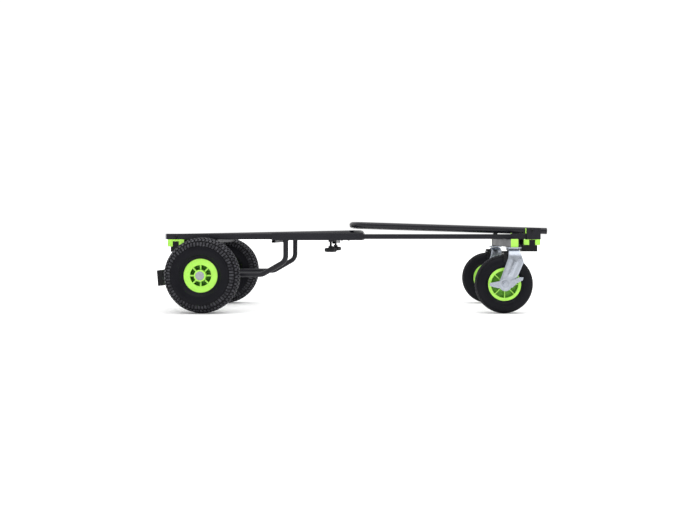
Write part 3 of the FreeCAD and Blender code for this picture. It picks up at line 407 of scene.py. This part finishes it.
def finish_piece(name, bm, body, slot, replaced=()):
    """Turn the mesh into a smooth-shaded object that rides on its body."""
    bmesh.ops.recalc_face_normals(bm, faces=bm.faces)
    for face in bm.faces:
        face.smooth = True
    mesh = bpy.data.meshes.new(name)
    bm.to_mesh(mesh)
    bm.free()
    mesh.set_sharp_from_angle(angle=SHARP_ANGLE)
    mesh.materials.append(materials[slot])
    piece = bpy.data.objects.new(name, mesh)
    bpy.context.scene.collection.objects.link(piece)
    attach(piece, body)
    if replaced:
        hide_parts(*replaced)
    return piece


# CAD nodes that stay: a material from the record's slot and rounded edges

SLOT_ROUNDING = {"frame_paint": 0.5 * MM, "handle_paint": 0.3 * MM, "black_plastic": 1.2 * MM,
                 "grey_plastic": 0.9 * MM, "green_plastic": 0.8 * MM, "zinc": 0.6 * MM,
                 "black_steel": 0.5 * MM, "bearing_steel": 0.3 * MM, "tyre_rubber": 0.5 * MM}


def round_edges(node_object, width):
    """Narrow rounded edges on a CAD node, as modifiers."""
    weld = node_object.modifiers.new("join_faces", "WELD")
    weld.merge_threshold = 0.01 * MM
    bevel = node_object.modifiers.new("round_edges", "BEVEL")
    bevel.width = width
    bevel.segments = 2
    bevel.limit_method = "ANGLE"
    bevel.angle_limit = math.radians(40)
    node_object.modifiers.new("even_shading", "WEIGHTED_NORMAL")


def dress_cad_nodes():
    """Every CAD node gets its slot's material and its slot's rounding."""
    for part in frame["record"]["subparts"]:
        node_object = frame["nodes"][part["node"]]
        node_object.data.materials.clear()
        node_object.data.materials.append(materials[part["material_slot"]])
        round_edges(node_object, SLOT_ROUNDING[part["material_slot"]])


# Tyres

TyreLook = namedtuple("TyreLook", ("blocks", "rows", "wear", "groove_depth", "shoulder_drop",
                                   "shoulder_share", "bead_radius", "bead_share"))
# The block tops' paleness on each tyre stands for wear and for a painted sheen
REAR_TYRE = TyreLook(62, 4, 1.0, 4.0 * MM, 12 * MM, 0.75, 58 * MM, 0.643)
CASTER_TYRE = TyreLook(60, 3, 0.4, 2.2 * MM, 5.5 * MM, 0.72, 56.5 * MM, 0.76)

# Rows of blocks as (start, end, turn). Start and end are shares of the way from the tread's middle to the
# shoulder, and past 1 they run down the wall. Turn shifts a row by that share of a block.
TREAD_ROWS = ((0.0, 0.22, 0.0), (0.30, 0.58, 0.5), (0.66, 0.98, 0.0), (1.06, 1.28, 0.5))
GROOVE_WALL = 0.02
ROW_STEPS = 3
# Across one block's length as (share of the length, groove level), where level 1 is the groove's bottom
BLOCK_PHASES = ((0.0, 0.0), (0.06, 1.0), (0.34, 1.0), (0.40, 0.0), (0.70, 0.0))
# Below the last row the wall is plain as far as WALL_START, then ringed down to the bead at 2
WALL_START = 1.46
WALL_LEVEL = 0.2
WALL_STEPS = 5
WALL_RINGS = ((1.52, 0.15), (1.62, 0.15), (1.70, 0.2), (1.72, 0.05), (1.78, 0.05), (1.80, 0.25), (1.92, 0.25),
              (1.95, 0.0), (2.0, 0.0))


def tyre_outline(share, radius, half_width, look):
    """The tyre's smooth section: (y, radius) at a share of the way down from the middle of the tread."""
    shoulder_radius = radius - look.shoulder_drop
    shoulder_half = half_width * look.shoulder_share
    if share <= 1:
        return Vector((shoulder_half * share, radius - look.shoulder_drop * share ** 2))
    down = share - 1
    y = (shoulder_half * (2 * down - 1) * (down - 1) + half_width * 4 * down * (1 - down)
         + half_width * look.bead_share * down * (2 * down - 1))
    return Vector((y, shoulder_radius + (look.bead_radius - shoulder_radius) * down))


def tyre_stations(look):
    """Half a section as (share, groove level, row's turn, whether cross grooves cut it)."""
    stations = []
    for start, end, turn in TREAD_ROWS[:look.rows]:
        if stations:
            stations.append((start - GROOVE_WALL, 1.0, turn, False))
        for step in range(ROW_STEPS + 1):
            stations.append((start + (end - start) * step / ROW_STEPS, 0.0, turn, True))
        stations.append((end + GROOVE_WALL, 1.0, turn, False))
    last_row_end = TREAD_ROWS[look.rows - 1][1]
    for step in range(1, WALL_STEPS + 1):
        share = last_row_end + (WALL_START - last_row_end) * step / WALL_STEPS
        stations.append((share, WALL_LEVEL, 0.0, False))
    return stations + [(share, level, 0.0, False) for share, level in WALL_RINGS]


def tyre_section(radius, half_width, look):
    """The whole section from bead to bead: each point on the outline, its inward step and its pattern."""
    half = []
    for share, level, turn, cut in tyre_stations(look):
        place = tyre_outline(share, radius, half_width, look)
        along = (tyre_outline(share + 0.01, radius, half_width, look) - place).normalized()
        inward = Vector((along.y, -along.x))
        half.append((place, inward, level, turn, cut))
    flip = Vector((-1, 1))
    other = [(place * flip, inward * flip, level, turn, cut) for place, inward, level, turn, cut in half[1:]]
    return other[::-1] + half


def tread_tyre(name, node, body, look):
    """A tyre with rows of blocks, ringed side walls and a bead; its base is left open under the rim's edge."""
    low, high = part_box(node)
    centre = (low + high) / 2
    section = tyre_section((high.z - low.z) / 2, (high.y - low.y) / 2, look)
    bm = bmesh.new()
    block_top = bm.verts.layers.float.new(BLOCK_TOP)
    loops = []
    for block in range(look.blocks):
        for phase, groove in BLOCK_PHASES:
            loop = []
            for place, inward, level, turn, cut in section:
                depth = look.groove_depth * max(level, groove if cut else 0.0)
                y, reach = place + inward * depth
                angle = FULL_TURN * (block + phase + turn) / look.blocks
                offset = Vector((reach * math.cos(angle), y, reach * math.sin(angle)))
                vertex = bm.verts.new(centre + offset)
                vertex[block_top] = look.wear if cut and groove == 0 else 0.0
                loop.append(vertex)
            loops.append(loop)
    for first, second in zip(loops, loops[1:] + loops[:1]):
        bridge(bm, first, second)
    finish_piece(name, bm, body, "tyre_rubber", [node])


# Caster forks

FORK_SHEET = 3 * MM
FORK_RIB_HEIGHT = 1.6 * MM
FORK_BOSS_RADIUS = 22 * MM
FORK_BEND = 9 * MM
FORK_COLUMNS = 24
FORK_LEG_STEPS = 30
FORK_BEND_STEPS = 6
# The crown's share of the fork's width, and how far its bends drop below it
FORK_CROWN_SHARE = 0.66
FORK_CROWN_DROP = 24 * MM
# Below the axle by more than this, the leg's end is the boss alone
FORK_BOSS_NECK = 8 * MM
# Heights between which the rib rises out of the leg, and sinks back into it
FORK_RIB_FOOT = (0.122, 0.140)
FORK_RIB_HEAD = (0.178, 0.190)
# The fork's edges seen from the side, as (height above the ground, distance from the kingpin)
FORK_BACK_EDGE = ((0.078, -0.0535), (0.092, -0.0535), (0.112, -0.0520), (0.190, -0.0230), (0.2197, -0.0200))
FORK_FRONT_EDGE = ((0.078, -0.0135), (0.092, -0.0135), (0.130, 0.0100), (0.176, 0.0300), (0.2197, 0.0170))


def between(points, at):
    """The value at a place on a line of (place, value) points."""
    for (low, first), (high, second) in zip(points, points[1:]):
        if at <= high:
            share = max(0.0, (at - low) / (high - low))
            return first + (second - first) * share
    return points[-1][1]


def fork_path(half_width, shoulder_z, crown_half, crown_z, bottom_z):
    """The middle line of the bent strip in the YZ plane, with its four bends rounded."""
    left_half = [Vector((-half_width, bottom_z)), Vector((-half_width, shoulder_z)),
                 Vector((-crown_half, crown_z))]
    corners = left_half + [Vector((-place.x, place.y)) for place in reversed(left_half)]
    leg_shares = [step / FORK_LEG_STEPS for step in range(FORK_LEG_STEPS + 1)]
    leg_top = corners[1] - Vector((0, FORK_BEND))
    path = [corners[0].lerp(leg_top, share) for share in leg_shares[:-1]]
    for before, corner, after in zip(corners, corners[1:], corners[2:]):
        start = corner + (before - corner).normalized() * FORK_BEND
        end = corner + (after - corner).normalized() * FORK_BEND
        for step in range(FORK_BEND_STEPS + 1):
            share = step / FORK_BEND_STEPS
            path.append(start.lerp(corner, share).lerp(corner.lerp(end, share), share))
    leg_top = corners[-2] - Vector((0, FORK_BEND))
    return path + [leg_top.lerp(corners[-1], share) for share in leg_shares[1:]]


def smooth_step(low, high, value):
    """From 0 at low to 1 at high, with soft ends."""
    share = min(1.0, max(0.0, (value - low) / (high - low)))
    return share * share * (3 - 2 * share)


def pressed_fork(side):
    """The caster's fork as one pressed sheet: curled edges, a rib on each leg and round ends."""
    node = "caster_fork_" + side
    kingpin = joint_place("caster_swivel_" + side)
    axle = joint_place("caster_wheel_roll_" + side)
    low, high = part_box(node)
    half_width = (high.y - low.y) / 2
    crown_half = half_width * FORK_CROWN_SHARE
    path = fork_path(half_width, high.z - FORK_CROWN_DROP, crown_half, high.z, low.z + 0.5 * MM)
    bm = bmesh.new()
    rows = []
    for index, place in enumerate(path):
        before = path[max(0, index - 1)]
        after = path[min(len(path) - 1, index + 1)]
        along = (after - before).normalized()
        outward = Vector((-along.y, along.x))
        back = kingpin.x + between(FORK_BACK_EDGE, place.y)
        front = kingpin.x + between(FORK_FRONT_EDGE, place.y)
        drop = axle.z - place.y
        if abs(drop) < FORK_BOSS_RADIUS:
            reach = math.sqrt(FORK_BOSS_RADIUS ** 2 - drop ** 2)
            back, front = min(back, axle.x - reach), max(front, axle.x + reach)
            if drop > FORK_BOSS_NECK:
                back, front = axle.x - reach, axle.x + reach
        rib_share = smooth_step(*FORK_RIB_FOOT, place.y) * (1 - smooth_step(*FORK_RIB_HEAD, place.y))
        row = []
        for column in range(FORK_COLUMNS + 1):
            across = column / FORK_COLUMNS
            from_middle = abs(across - 0.5)
            rib = FORK_RIB_HEIGHT * rib_share * (1 - smooth_step(0.08, 0.17, from_middle))
            curl = FORK_RIB_HEIGHT * smooth_step(0.43, 0.50, from_middle)
            moved = place + outward * (rib - curl - FORK_RIB_HEIGHT * 0.2)
            row.append(bm.verts.new((back + (front - back) * across, kingpin.y + moved.x, moved.y)))
        rows.append(row)
    for first, second in zip(rows, rows[1:]):
        for column in range(FORK_COLUMNS):
            bm.faces.new((first[column], first[column + 1], second[column + 1], second[column]))
    fork = finish_piece("pressed_fork_" + side, bm, "caster_" + side, "zinc", [node])
    solid = fork.modifiers.new("sheet", "SOLIDIFY")
    solid.thickness = FORK_SHEET
    solid.offset = -1
    rounding = fork.modifiers.new("round_edges", "BEVEL")
    rounding.width = 0.7 * MM
    rounding.segments = 2
    rounding.limit_method = "ANGLE"
    rounding.angle_limit = math.radians(50)


def shoe_pin(side):
    """The cross pin that carries the brake shoe, with a domed end on each side."""
    pivot = joint_place("brake_shoe_press_" + side)
    bm = bmesh.new()
    lathe(bm, rod_profile(2.5 * MM, -25 * MM, 25 * MM, 0.6 * MM), pivot, segments=24)
    finish_piece("brake_shoe_pin_" + side, bm, "caster_" + side, "zinc")


# Small hardware

# Bearings as (outer radius, bore radius)
REAR_BEARING = (14 * MM, 6 * MM)
CASTER_BEARING = (13 * MM, 5 * MM)
KNOB_RADIUS = 21.5 * MM
SCREW_HEAD_HEIGHT = 2.5 * MM
SCREW_NUT_HEIGHT = 5 * MM
SPACER_GAP = 0.4 * MM
# The smallest gap that counts as one between a node's separate parts: across the cart, along it or on an
# axle, between rivets, and between the bolts of a plate
SIDES_GAP = 50 * MM
PARTS_GAP = 20 * MM
RIVETS_GAP = 12 * MM
BOLTS_GAP = 5 * MM


def bearing(bm, centre, outward, outer_radius, bore_radius, width):
    """A ball bearing: outer race, recessed shield and inner race."""
    step = (outer_radius - bore_radius) / 4
    recess_depth = 0.8 * MM
    profile = [(bore_radius, 0), (bore_radius, width - 0.3 * MM), (bore_radius + 0.3 * MM, width),
               (bore_radius + step, width), (bore_radius + step, width - recess_depth),
               (outer_radius - step, width - recess_depth), (outer_radius - step, width),
               (outer_radius - 0.3 * MM, width), (outer_radius, width - 0.3 * MM), (outer_radius, 0)]
    lathe(bm, profile, centre, outward, closed=True)


def bearings():
    """Bearings in the rear hubs, which stay on the frame's axle, and in each caster's hub."""
    axle = joint_place("rear_wheel_roll_left")
    bm = bmesh.new()
    for low, high in spans("rear_wheel_bearings", 1, PARTS_GAP):
        outward = Y_AXIS if high > math.copysign(axle.y, high) else -Y_AXIS
        face = low if outward == Y_AXIS else high
        bearing(bm, Vector((axle.x, face, axle.z)), outward, *REAR_BEARING, high - low)
    finish_piece("rear_hub_bearings", bm, "rear_frame", "bearing_steel", ["rear_wheel_bearings"])
    for side in SIDES:
        axle = joint_place("caster_wheel_roll_" + side)
        bm = bmesh.new()
        for low, high in spans("caster_bearings_" + side, 1, PARTS_GAP):
            outward = Y_AXIS if high > axle.y else -Y_AXIS
            face = low if outward == Y_AXIS else high
            bearing(bm, Vector((axle.x, face, axle.z)), outward, *CASTER_BEARING, high - low)
        finish_piece("caster_hub_bearings_" + side, bm, "caster_" + side, "bearing_steel",
                     ["caster_bearings_" + side])


def hub_caps():
    """Domed press-in caps with a stepped edge over the rear hubs."""
    for side, sign in SIDES.items():
        node = "hub_cap_" + side
        low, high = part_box(node)
        centre = (low + high) / 2
        inner, outer = (low.y, high.y) if sign > 0 else (-high.y, -low.y)
        centre.y = sign * inner
        height = outer - inner
        edge_radius = (high.z - low.z) / 2
        profile = [(0, 0.2 * height), (13.5 * MM, 0.2 * height), (edge_radius, 0.25 * height),
                   (edge_radius, 0.48 * height), (edge_radius - 0.6 * MM, 0.58 * height),
                   (12.6 * MM, 0.60 * height), (12.2 * MM, 0.70 * height), (10.6 * MM, 0.86 * height),
                   (7.5 * MM, 0.96 * height), (3.5 * MM, 0.99 * height), (0, height)]
        bm = bmesh.new()
        lathe(bm, profile, centre, Y_AXIS * sign, segments=64)
        finish_piece("hub_dome_" + side, bm, "rear_wheel_" + side, "grey_plastic", [node])


def knobs():
    """Six-lobed clamping knobs with a dished underside, a collar and a screw."""
    for side in SIDES:
        node = "frame_knob_" + side
        centre = joint_place("frame_knob_turn_" + side)
        low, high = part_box(node)
        centre.z = 0
        head = [(0, 2.5 * MM), (8 * MM, 2.0 * MM), (12 * MM, 0.3 * MM), (15 * MM, 0),
                (KNOB_RADIUS - 2.5 * MM, 0.9 * MM), (KNOB_RADIUS - 0.6 * MM, 3.0 * MM),
                (KNOB_RADIUS, 5.0 * MM), (KNOB_RADIUS, 10.5 * MM), (KNOB_RADIUS - 1 * MM, 13.4 * MM),
                (KNOB_RADIUS - 4 * MM, 15.1 * MM), (9 * MM, 15.5 * MM), (8 * MM, 16.5 * MM),
                (8 * MM, 21.4 * MM), (7.4 * MM, 22 * MM), (0, 22 * MM)]
        profile = [(reach, low.z + height) for reach, height in head]
        bm = bmesh.new()
        lathe(bm, profile, centre, Z_AXIS, segments=120, lobes=6, lobe_share=0.13)
        lathe(bm, rod_profile(4 * MM, low.z + 16 * MM, high.z, 0.6 * MM), centre, Z_AXIS, segments=32)
        finish_piece("lobed_knob_" + side, bm, "frame_knob_" + side, "black_plastic", [node])


def front_pivots():
    """Socket screw through each handle bracket, with a hexagon nut outside it."""
    pivot = joint_place("front_handle_fold")
    inner, outer = spans("front_pivot_bolts", 1, SIDES_GAP)[1]
    bm = bmesh.new()
    for sign in SIDES.values():
        axis = Y_AXIS * sign
        base = Vector((pivot.x, 0, pivot.z))
        lathe(bm, rod_profile(5 * MM, inner + 2 * MM, outer - 2 * MM, 0.5 * MM), base, axis, segments=32)
        button_head(bm, base, axis, 6.5 * MM, outer - SCREW_HEAD_HEIGHT, SCREW_HEAD_HEIGHT)
        hexagon(bm, base, axis, 7.5 * MM, inner, inner + SCREW_NUT_HEIGHT)
    finish_piece("front_pivot_screws", bm, "front_frame", "black_steel", ["front_pivot_bolts"])


def rear_pivots():
    """Dome screw through each rear rail, with a spacer tube and a hexagon nut."""
    pivot = joint_place("rear_handle_fold")
    inner, outer = spans("rear_pivot_bolts", 1, SIDES_GAP)[1]
    rail_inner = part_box("rear_rail_left")[0].y
    handle_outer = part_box("rear_handle")[1].y
    bm = bmesh.new()
    for sign in SIDES.values():
        axis = Y_AXIS * sign
        base = Vector((pivot.x, 0, pivot.z))
        lathe(bm, rod_profile(4 * MM, inner + 2 * MM, outer - 1 * MM, 0.5 * MM), base, axis, segments=32)
        button_head(bm, base, axis, 7 * MM, outer - SCREW_HEAD_HEIGHT, SCREW_HEAD_HEIGHT)
        hexagon(bm, base, axis, 7 * MM, inner, inner + SCREW_NUT_HEIGHT)
        spacer = rod_profile(8 * MM, handle_outer + SPACER_GAP, rail_inner, 0.5 * MM)
        lathe(bm, spacer, base, axis, segments=40)
    finish_piece("rear_pivot_screws", bm, "rear_frame", "black_steel", ["rear_pivot_bolts"])


def plate_bolts():
    """Hexagon heads with washers under the caster plates."""
    low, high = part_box("caster_plate_bolts")
    bm = bmesh.new()
    for x_low, x_high in spans("caster_plate_bolts", 0, BOLTS_GAP):
        for y_low, y_high in spans("caster_plate_bolts", 1, BOLTS_GAP):
            base = Vector(((x_low + x_high) / 2, (y_low + y_high) / 2, high.z))
            lathe(bm, rod_profile(3.5 * MM, 0, 0.7 * MM, 0.2 * MM), base, -Z_AXIS, segments=24)
            hexagon(bm, base, -Z_AXIS, 3.2 * MM, 0.6 * MM, high.z - low.z)
    finish_piece("plate_bolt_heads", bm, "front_frame", "zinc", ["caster_plate_bolts"])


def rivets():
    """Domed rivets under the sleeves."""
    low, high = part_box("sleeve_rivets")
    height = high.z - low.z
    bm = bmesh.new()
    for x_low, x_high in spans("sleeve_rivets", 0, RIVETS_GAP):
        for y_low, y_high in spans("sleeve_rivets", 1, RIVETS_GAP):
            base = Vector(((x_low + x_high) / 2, (y_low + y_high) / 2, high.z))
            radius = (x_high - x_low) / 2
            dome = [(radius * math.cos(turn), height * math.sin(turn))
                    for turn in (math.radians(angle) for angle in (0, 20, 40, 60, 78))]
            lathe(bm, [(0, 0), *dome, (0, height)], base, -Z_AXIS, segments=24)
    finish_piece("sleeve_rivet_domes", bm, "rear_frame", "black_steel", ["sleeve_rivets"])


def axle_hardware():
    """Flanged hexagon nut outside each rear wheel's bearings and a spacer inside them."""
    axle = joint_place("rear_wheel_roll_left")
    base = Vector((axle.x, 0, axle.z))
    spacer, nut = spans("axle_nuts", 1, PARTS_GAP)[2:]
    bm = bmesh.new()
    for sign in SIDES.values():
        axis = Y_AXIS * sign
        lathe(bm, rod_profile(10 * MM, nut[0], nut[0] + 0.8 * MM, 0.2 * MM), base, axis, segments=36)
        hexagon(bm, base, axis, 9.6 * MM, nut[0] + 0.6 * MM, nut[1])
        lathe(bm, rod_profile(9 * MM, spacer[0], spacer[1], 0.4 * MM), base, axis, segments=40)
    finish_piece("axle_nuts_and_spacers", bm, "rear_frame", "zinc", ["axle_nuts"])


# Details that the CAD leaves plain: weld beads, lever bosses and latch grips

RAIL_BEAD = 1.6 * MM
SLEEVE_BEAD = 1.4 * MM
BRACE_BEAD = 1.8 * MM
BRACE_TUBE_RADIUS = 9 * MM
WELD_NUT_HEIGHT = 6 * MM


def bar_beads(bm, bar_spans, rail_node, top):
    """A bead along each side of each cross bar, under the rail that it is welded to."""
    rail_low, rail_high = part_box(rail_node)
    for x_low, x_high in bar_spans:
        for sign in SIDES.values():
            for x in (x_low - 0.3 * RAIL_BEAD, x_high + 0.3 * RAIL_BEAD):
                ends = [(x, sign * (rail_low.y + RAIL_BEAD), top), (x, sign * (rail_high.y - RAIL_BEAD), top)]
                weld_bead(bm, ends, RAIL_BEAD)


def sleeve_bar_beads(bm, x_low, x_high):
    """A bead round each end of the cross bar that butts against the sleeves' inner faces."""
    vertices = frame["nodes"]["rear_cross_bars"].data.vertices
    heights = [vertex.co.z for vertex in vertices if vertex.co.x > x_low - TINY]
    z_low, z_high = min(heights), max(heights)
    inner_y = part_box("sleeve_left")[0].y
    for sign in SIDES.values():
        y = sign * (inner_y - 0.3 * SLEEVE_BEAD)
        corners = [(x_low, y, z_low), (x_low, y, z_high), (x_high, y, z_high), (x_high, y, z_low)]
        weld_bead(bm, corners, SLEEVE_BEAD, True)


def rear_welds():
    """The rear frame's beads: under its cross bars, and round the tops of the braces and their posts."""
    brace_low, brace_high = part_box("axle_brace_left")
    brace_y = (brace_low.y + brace_high.y) / 2
    sleeve_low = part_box("sleeve_left")[0]
    rail_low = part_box("rear_rail_left")[0]
    axle = joint_place("rear_wheel_roll_left")
    brace_top_x = brace_high.x - BRACE_TUBE_RADIUS
    brace_top_z = sleeve_low.z + WELD_NUT_HEIGHT
    bm = bmesh.new()
    lock_bar, post_bar, middle_bar, sleeve_bar = spans("rear_cross_bars", 0, PARTS_GAP)
    bar_beads(bm, [lock_bar, post_bar], "rear_rail_left", rail_low.z)
    bar_beads(bm, [middle_bar], "rear_rail_left", sleeve_low.z)
    sleeve_bar_beads(bm, *sleeve_bar)
    for sign in SIDES.values():
        y = sign * brace_y
        for top in ((brace_top_x, y, brace_top_z), (axle.x, y, rail_low.z)):
            weld_bead(bm, circle(top, Z_AXIS, BRACE_TUBE_RADIUS), BRACE_BEAD, True)
    finish_piece("rear_weld_beads", bm, "rear_frame", "frame_paint")


def front_welds():
    """The front frame's beads: at its cross bar and caster tube, and round the rails at the brackets."""
    tube_low, tube_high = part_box("caster_cross_tube")
    bar_low, bar_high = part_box("front_cross_bar")
    rail_low, rail_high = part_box("front_rail_left")
    bracket_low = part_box("handle_brackets")[0]
    bm = bmesh.new()
    bar_beads(bm, [(tube_low.x, tube_high.x), (bar_low.x, bar_high.x)], "front_rail_left", rail_low.z)
    for sign in SIDES.values():
        for y in (rail_low.y, rail_high.y):
            ends = [(x, sign * y, tube_high.z) for x in (tube_low.x + 1 * MM, tube_high.x - 1 * MM)]
            weld_bead(bm, ends, RAIL_BEAD)
        x = bracket_low.x - 0.4 * MM
        y_pair = (sign * (rail_low.y + 1 * MM), sign * (rail_high.y - 1 * MM))
        z_pair = (rail_low.z + 1 * MM, rail_high.z - 0.2 * MM)
        corners = [(x, y_pair[0], z_pair[0]), (x, y_pair[0], z_pair[1]), (x, y_pair[1], z_pair[1]),
                   (x, y_pair[1], z_pair[0])]
        weld_bead(bm, corners, RAIL_BEAD, True)
    finish_piece("front_weld_beads", bm, "front_frame", "frame_paint")


def lever_bosses():
    """A raised washer ring round each brake lever's axle hole."""
    for side in SIDES:
        node = "brake_lever_" + side
        axle = joint_place("brake_lever_turn_" + side)
        base = Vector((axle.x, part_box(node)[0].y, axle.z))
        profile = [(10.5 * MM, -0.6 * MM), (10.5 * MM, 0.2 * MM), (11 * MM, 0.55 * MM),
                   (14.5 * MM, 0.55 * MM), (15.6 * MM, 0.2 * MM), (15.6 * MM, -0.6 * MM)]
        bm = bmesh.new()
        lathe(bm, profile, base, -Y_AXIS, segments=64, closed=True)
        finish_piece("lever_boss_" + side, bm, node, "zinc")


def latch_grips():
    """Finger ribs along the underside of each T-shaped latch."""
    for place in ("front", "rear"):
        for side in SIDES:
            node = place + "_latch_" + side
            low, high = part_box(node)
            bm = bmesh.new()
            for share in (0.2, 0.35, 0.5, 0.65, 0.8):
                x = low.x + (high.x - low.x) * share
                rib_low = (x - 1 * MM, low.y + 4 * MM, low.z + 0.2 * MM)
                rib_high = (x + 1 * MM, high.y - 4 * MM, low.z + 3 * MM)
                rounded_block(bm, rib_low, rib_high, 0.5 * MM)
            finish_piece(place + "_latch_grip_" + side, bm, node, "black_plastic")


# Camera, lights and floor

CAMERA_PLACE = (0.0975, -2.850, 0.265)
CAMERA_LENS = 39.6
CAMERA_SHIFT = (-0.0429, -0.0379)
FLOOR_HALF = 60.0


def camera():
    """A level camera that looks along +Y at the cart's right side."""
    data = bpy.data.cameras.new("camera")
    data.sensor_width = 36
    data.lens = CAMERA_LENS
    data.shift_x, data.shift_y = CAMERA_SHIFT
    data.clip_end = 200
    view = bpy.data.objects.new("camera", data)
    view.location = CAMERA_PLACE
    view.rotation_euler = (math.radians(90), 0, 0)
    bpy.context.scene.collection.objects.link(view)
    bpy.context.scene.camera = view


def overhead_light():
    """A wide, soft light from above and a little in front, the same over the whole floor."""
    data = bpy.data.lights.new("overhead", "SUN")
    data.energy = 1.6
    data.angle = math.radians(75)
    light = bpy.data.objects.new("overhead", data)
    light.rotation_euler = (math.radians(12), math.radians(8), 0)
    bpy.context.scene.collection.objects.link(light)


def surroundings():
    """A white backdrop; reflections are dim in front, and bright behind, overhead and at the ends."""
    world = bpy.data.worlds.new("studio")
    world.use_nodes = True
    tree = world.node_tree
    direction = add(tree, "ShaderNodeTexCoord").outputs["Generated"]
    direction = add(tree, "ShaderNodeSeparateXYZ", {"Vector": direction}).outputs
    overhead = spread(tree, direction["Z"], 0, 1, 0.28, 1.25)
    ends = times(tree, times(tree, direction["X"], direction["X"]), 0.85)
    behind = spread(tree, direction["Y"], 0, 1, 0, 0.35)
    seen = add(tree, "ShaderNodeLightPath").outputs["Is Camera Ray"]
    brightness = mix(tree, seen, plus(tree, plus(tree, overhead, ends), behind), (1.05, 1.05, 1.05))
    tree.links.new(brightness, tree.nodes["Background"].inputs["Color"])
    bpy.context.scene.world = world


def studio():
    """White surroundings, a soft light overhead and a plain white floor."""
    surroundings()
    overhead_light()
    mesh = bpy.data.meshes.new("floor")
    corners = [(-FLOOR_HALF, -FLOOR_HALF, 0), (FLOOR_HALF, -FLOOR_HALF, 0), (FLOOR_HALF, FLOOR_HALF, 0),
               (-FLOOR_HALF, FLOOR_HALF, 0)]
    mesh.from_pydata(corners, [], [(0, 1, 2, 3)])
    material, tree, shader = start_material("floor_white", {"Roughness": 0.9, "Specular IOR Level": 0.1})
    shade = mix(tree, noise(tree, 1.0, 2), (0.90, 0.90, 0.90), (0.93, 0.93, 0.93))
    tree.links.new(shade, shader.inputs["Base Color"])
    mesh.materials.append(material)
    floor = bpy.data.objects.new("floor", mesh)
    bpy.context.scene.collection.objects.link(floor)
    bpy.context.scene.view_settings.view_transform = "Standard"


camera()
studio()
dress_cad_nodes()
for side_name in SIDES:
    tread_tyre("block_tyre_" + side_name, "rear_tyre_" + side_name, "rear_wheel_" + side_name, REAR_TYRE)
    tread_tyre("caster_block_tyre_" + side_name, "caster_tyre_" + side_name, "caster_wheel_" + side_name,
               CASTER_TYRE)
    pressed_fork(side_name)
    shoe_pin(side_name)
bearings()
hub_caps()
knobs()
front_pivots()
rear_pivots()
plate_bolts()
rivets()
axle_hardware()
rear_welds()
front_welds()
lever_bosses()
latch_grips()
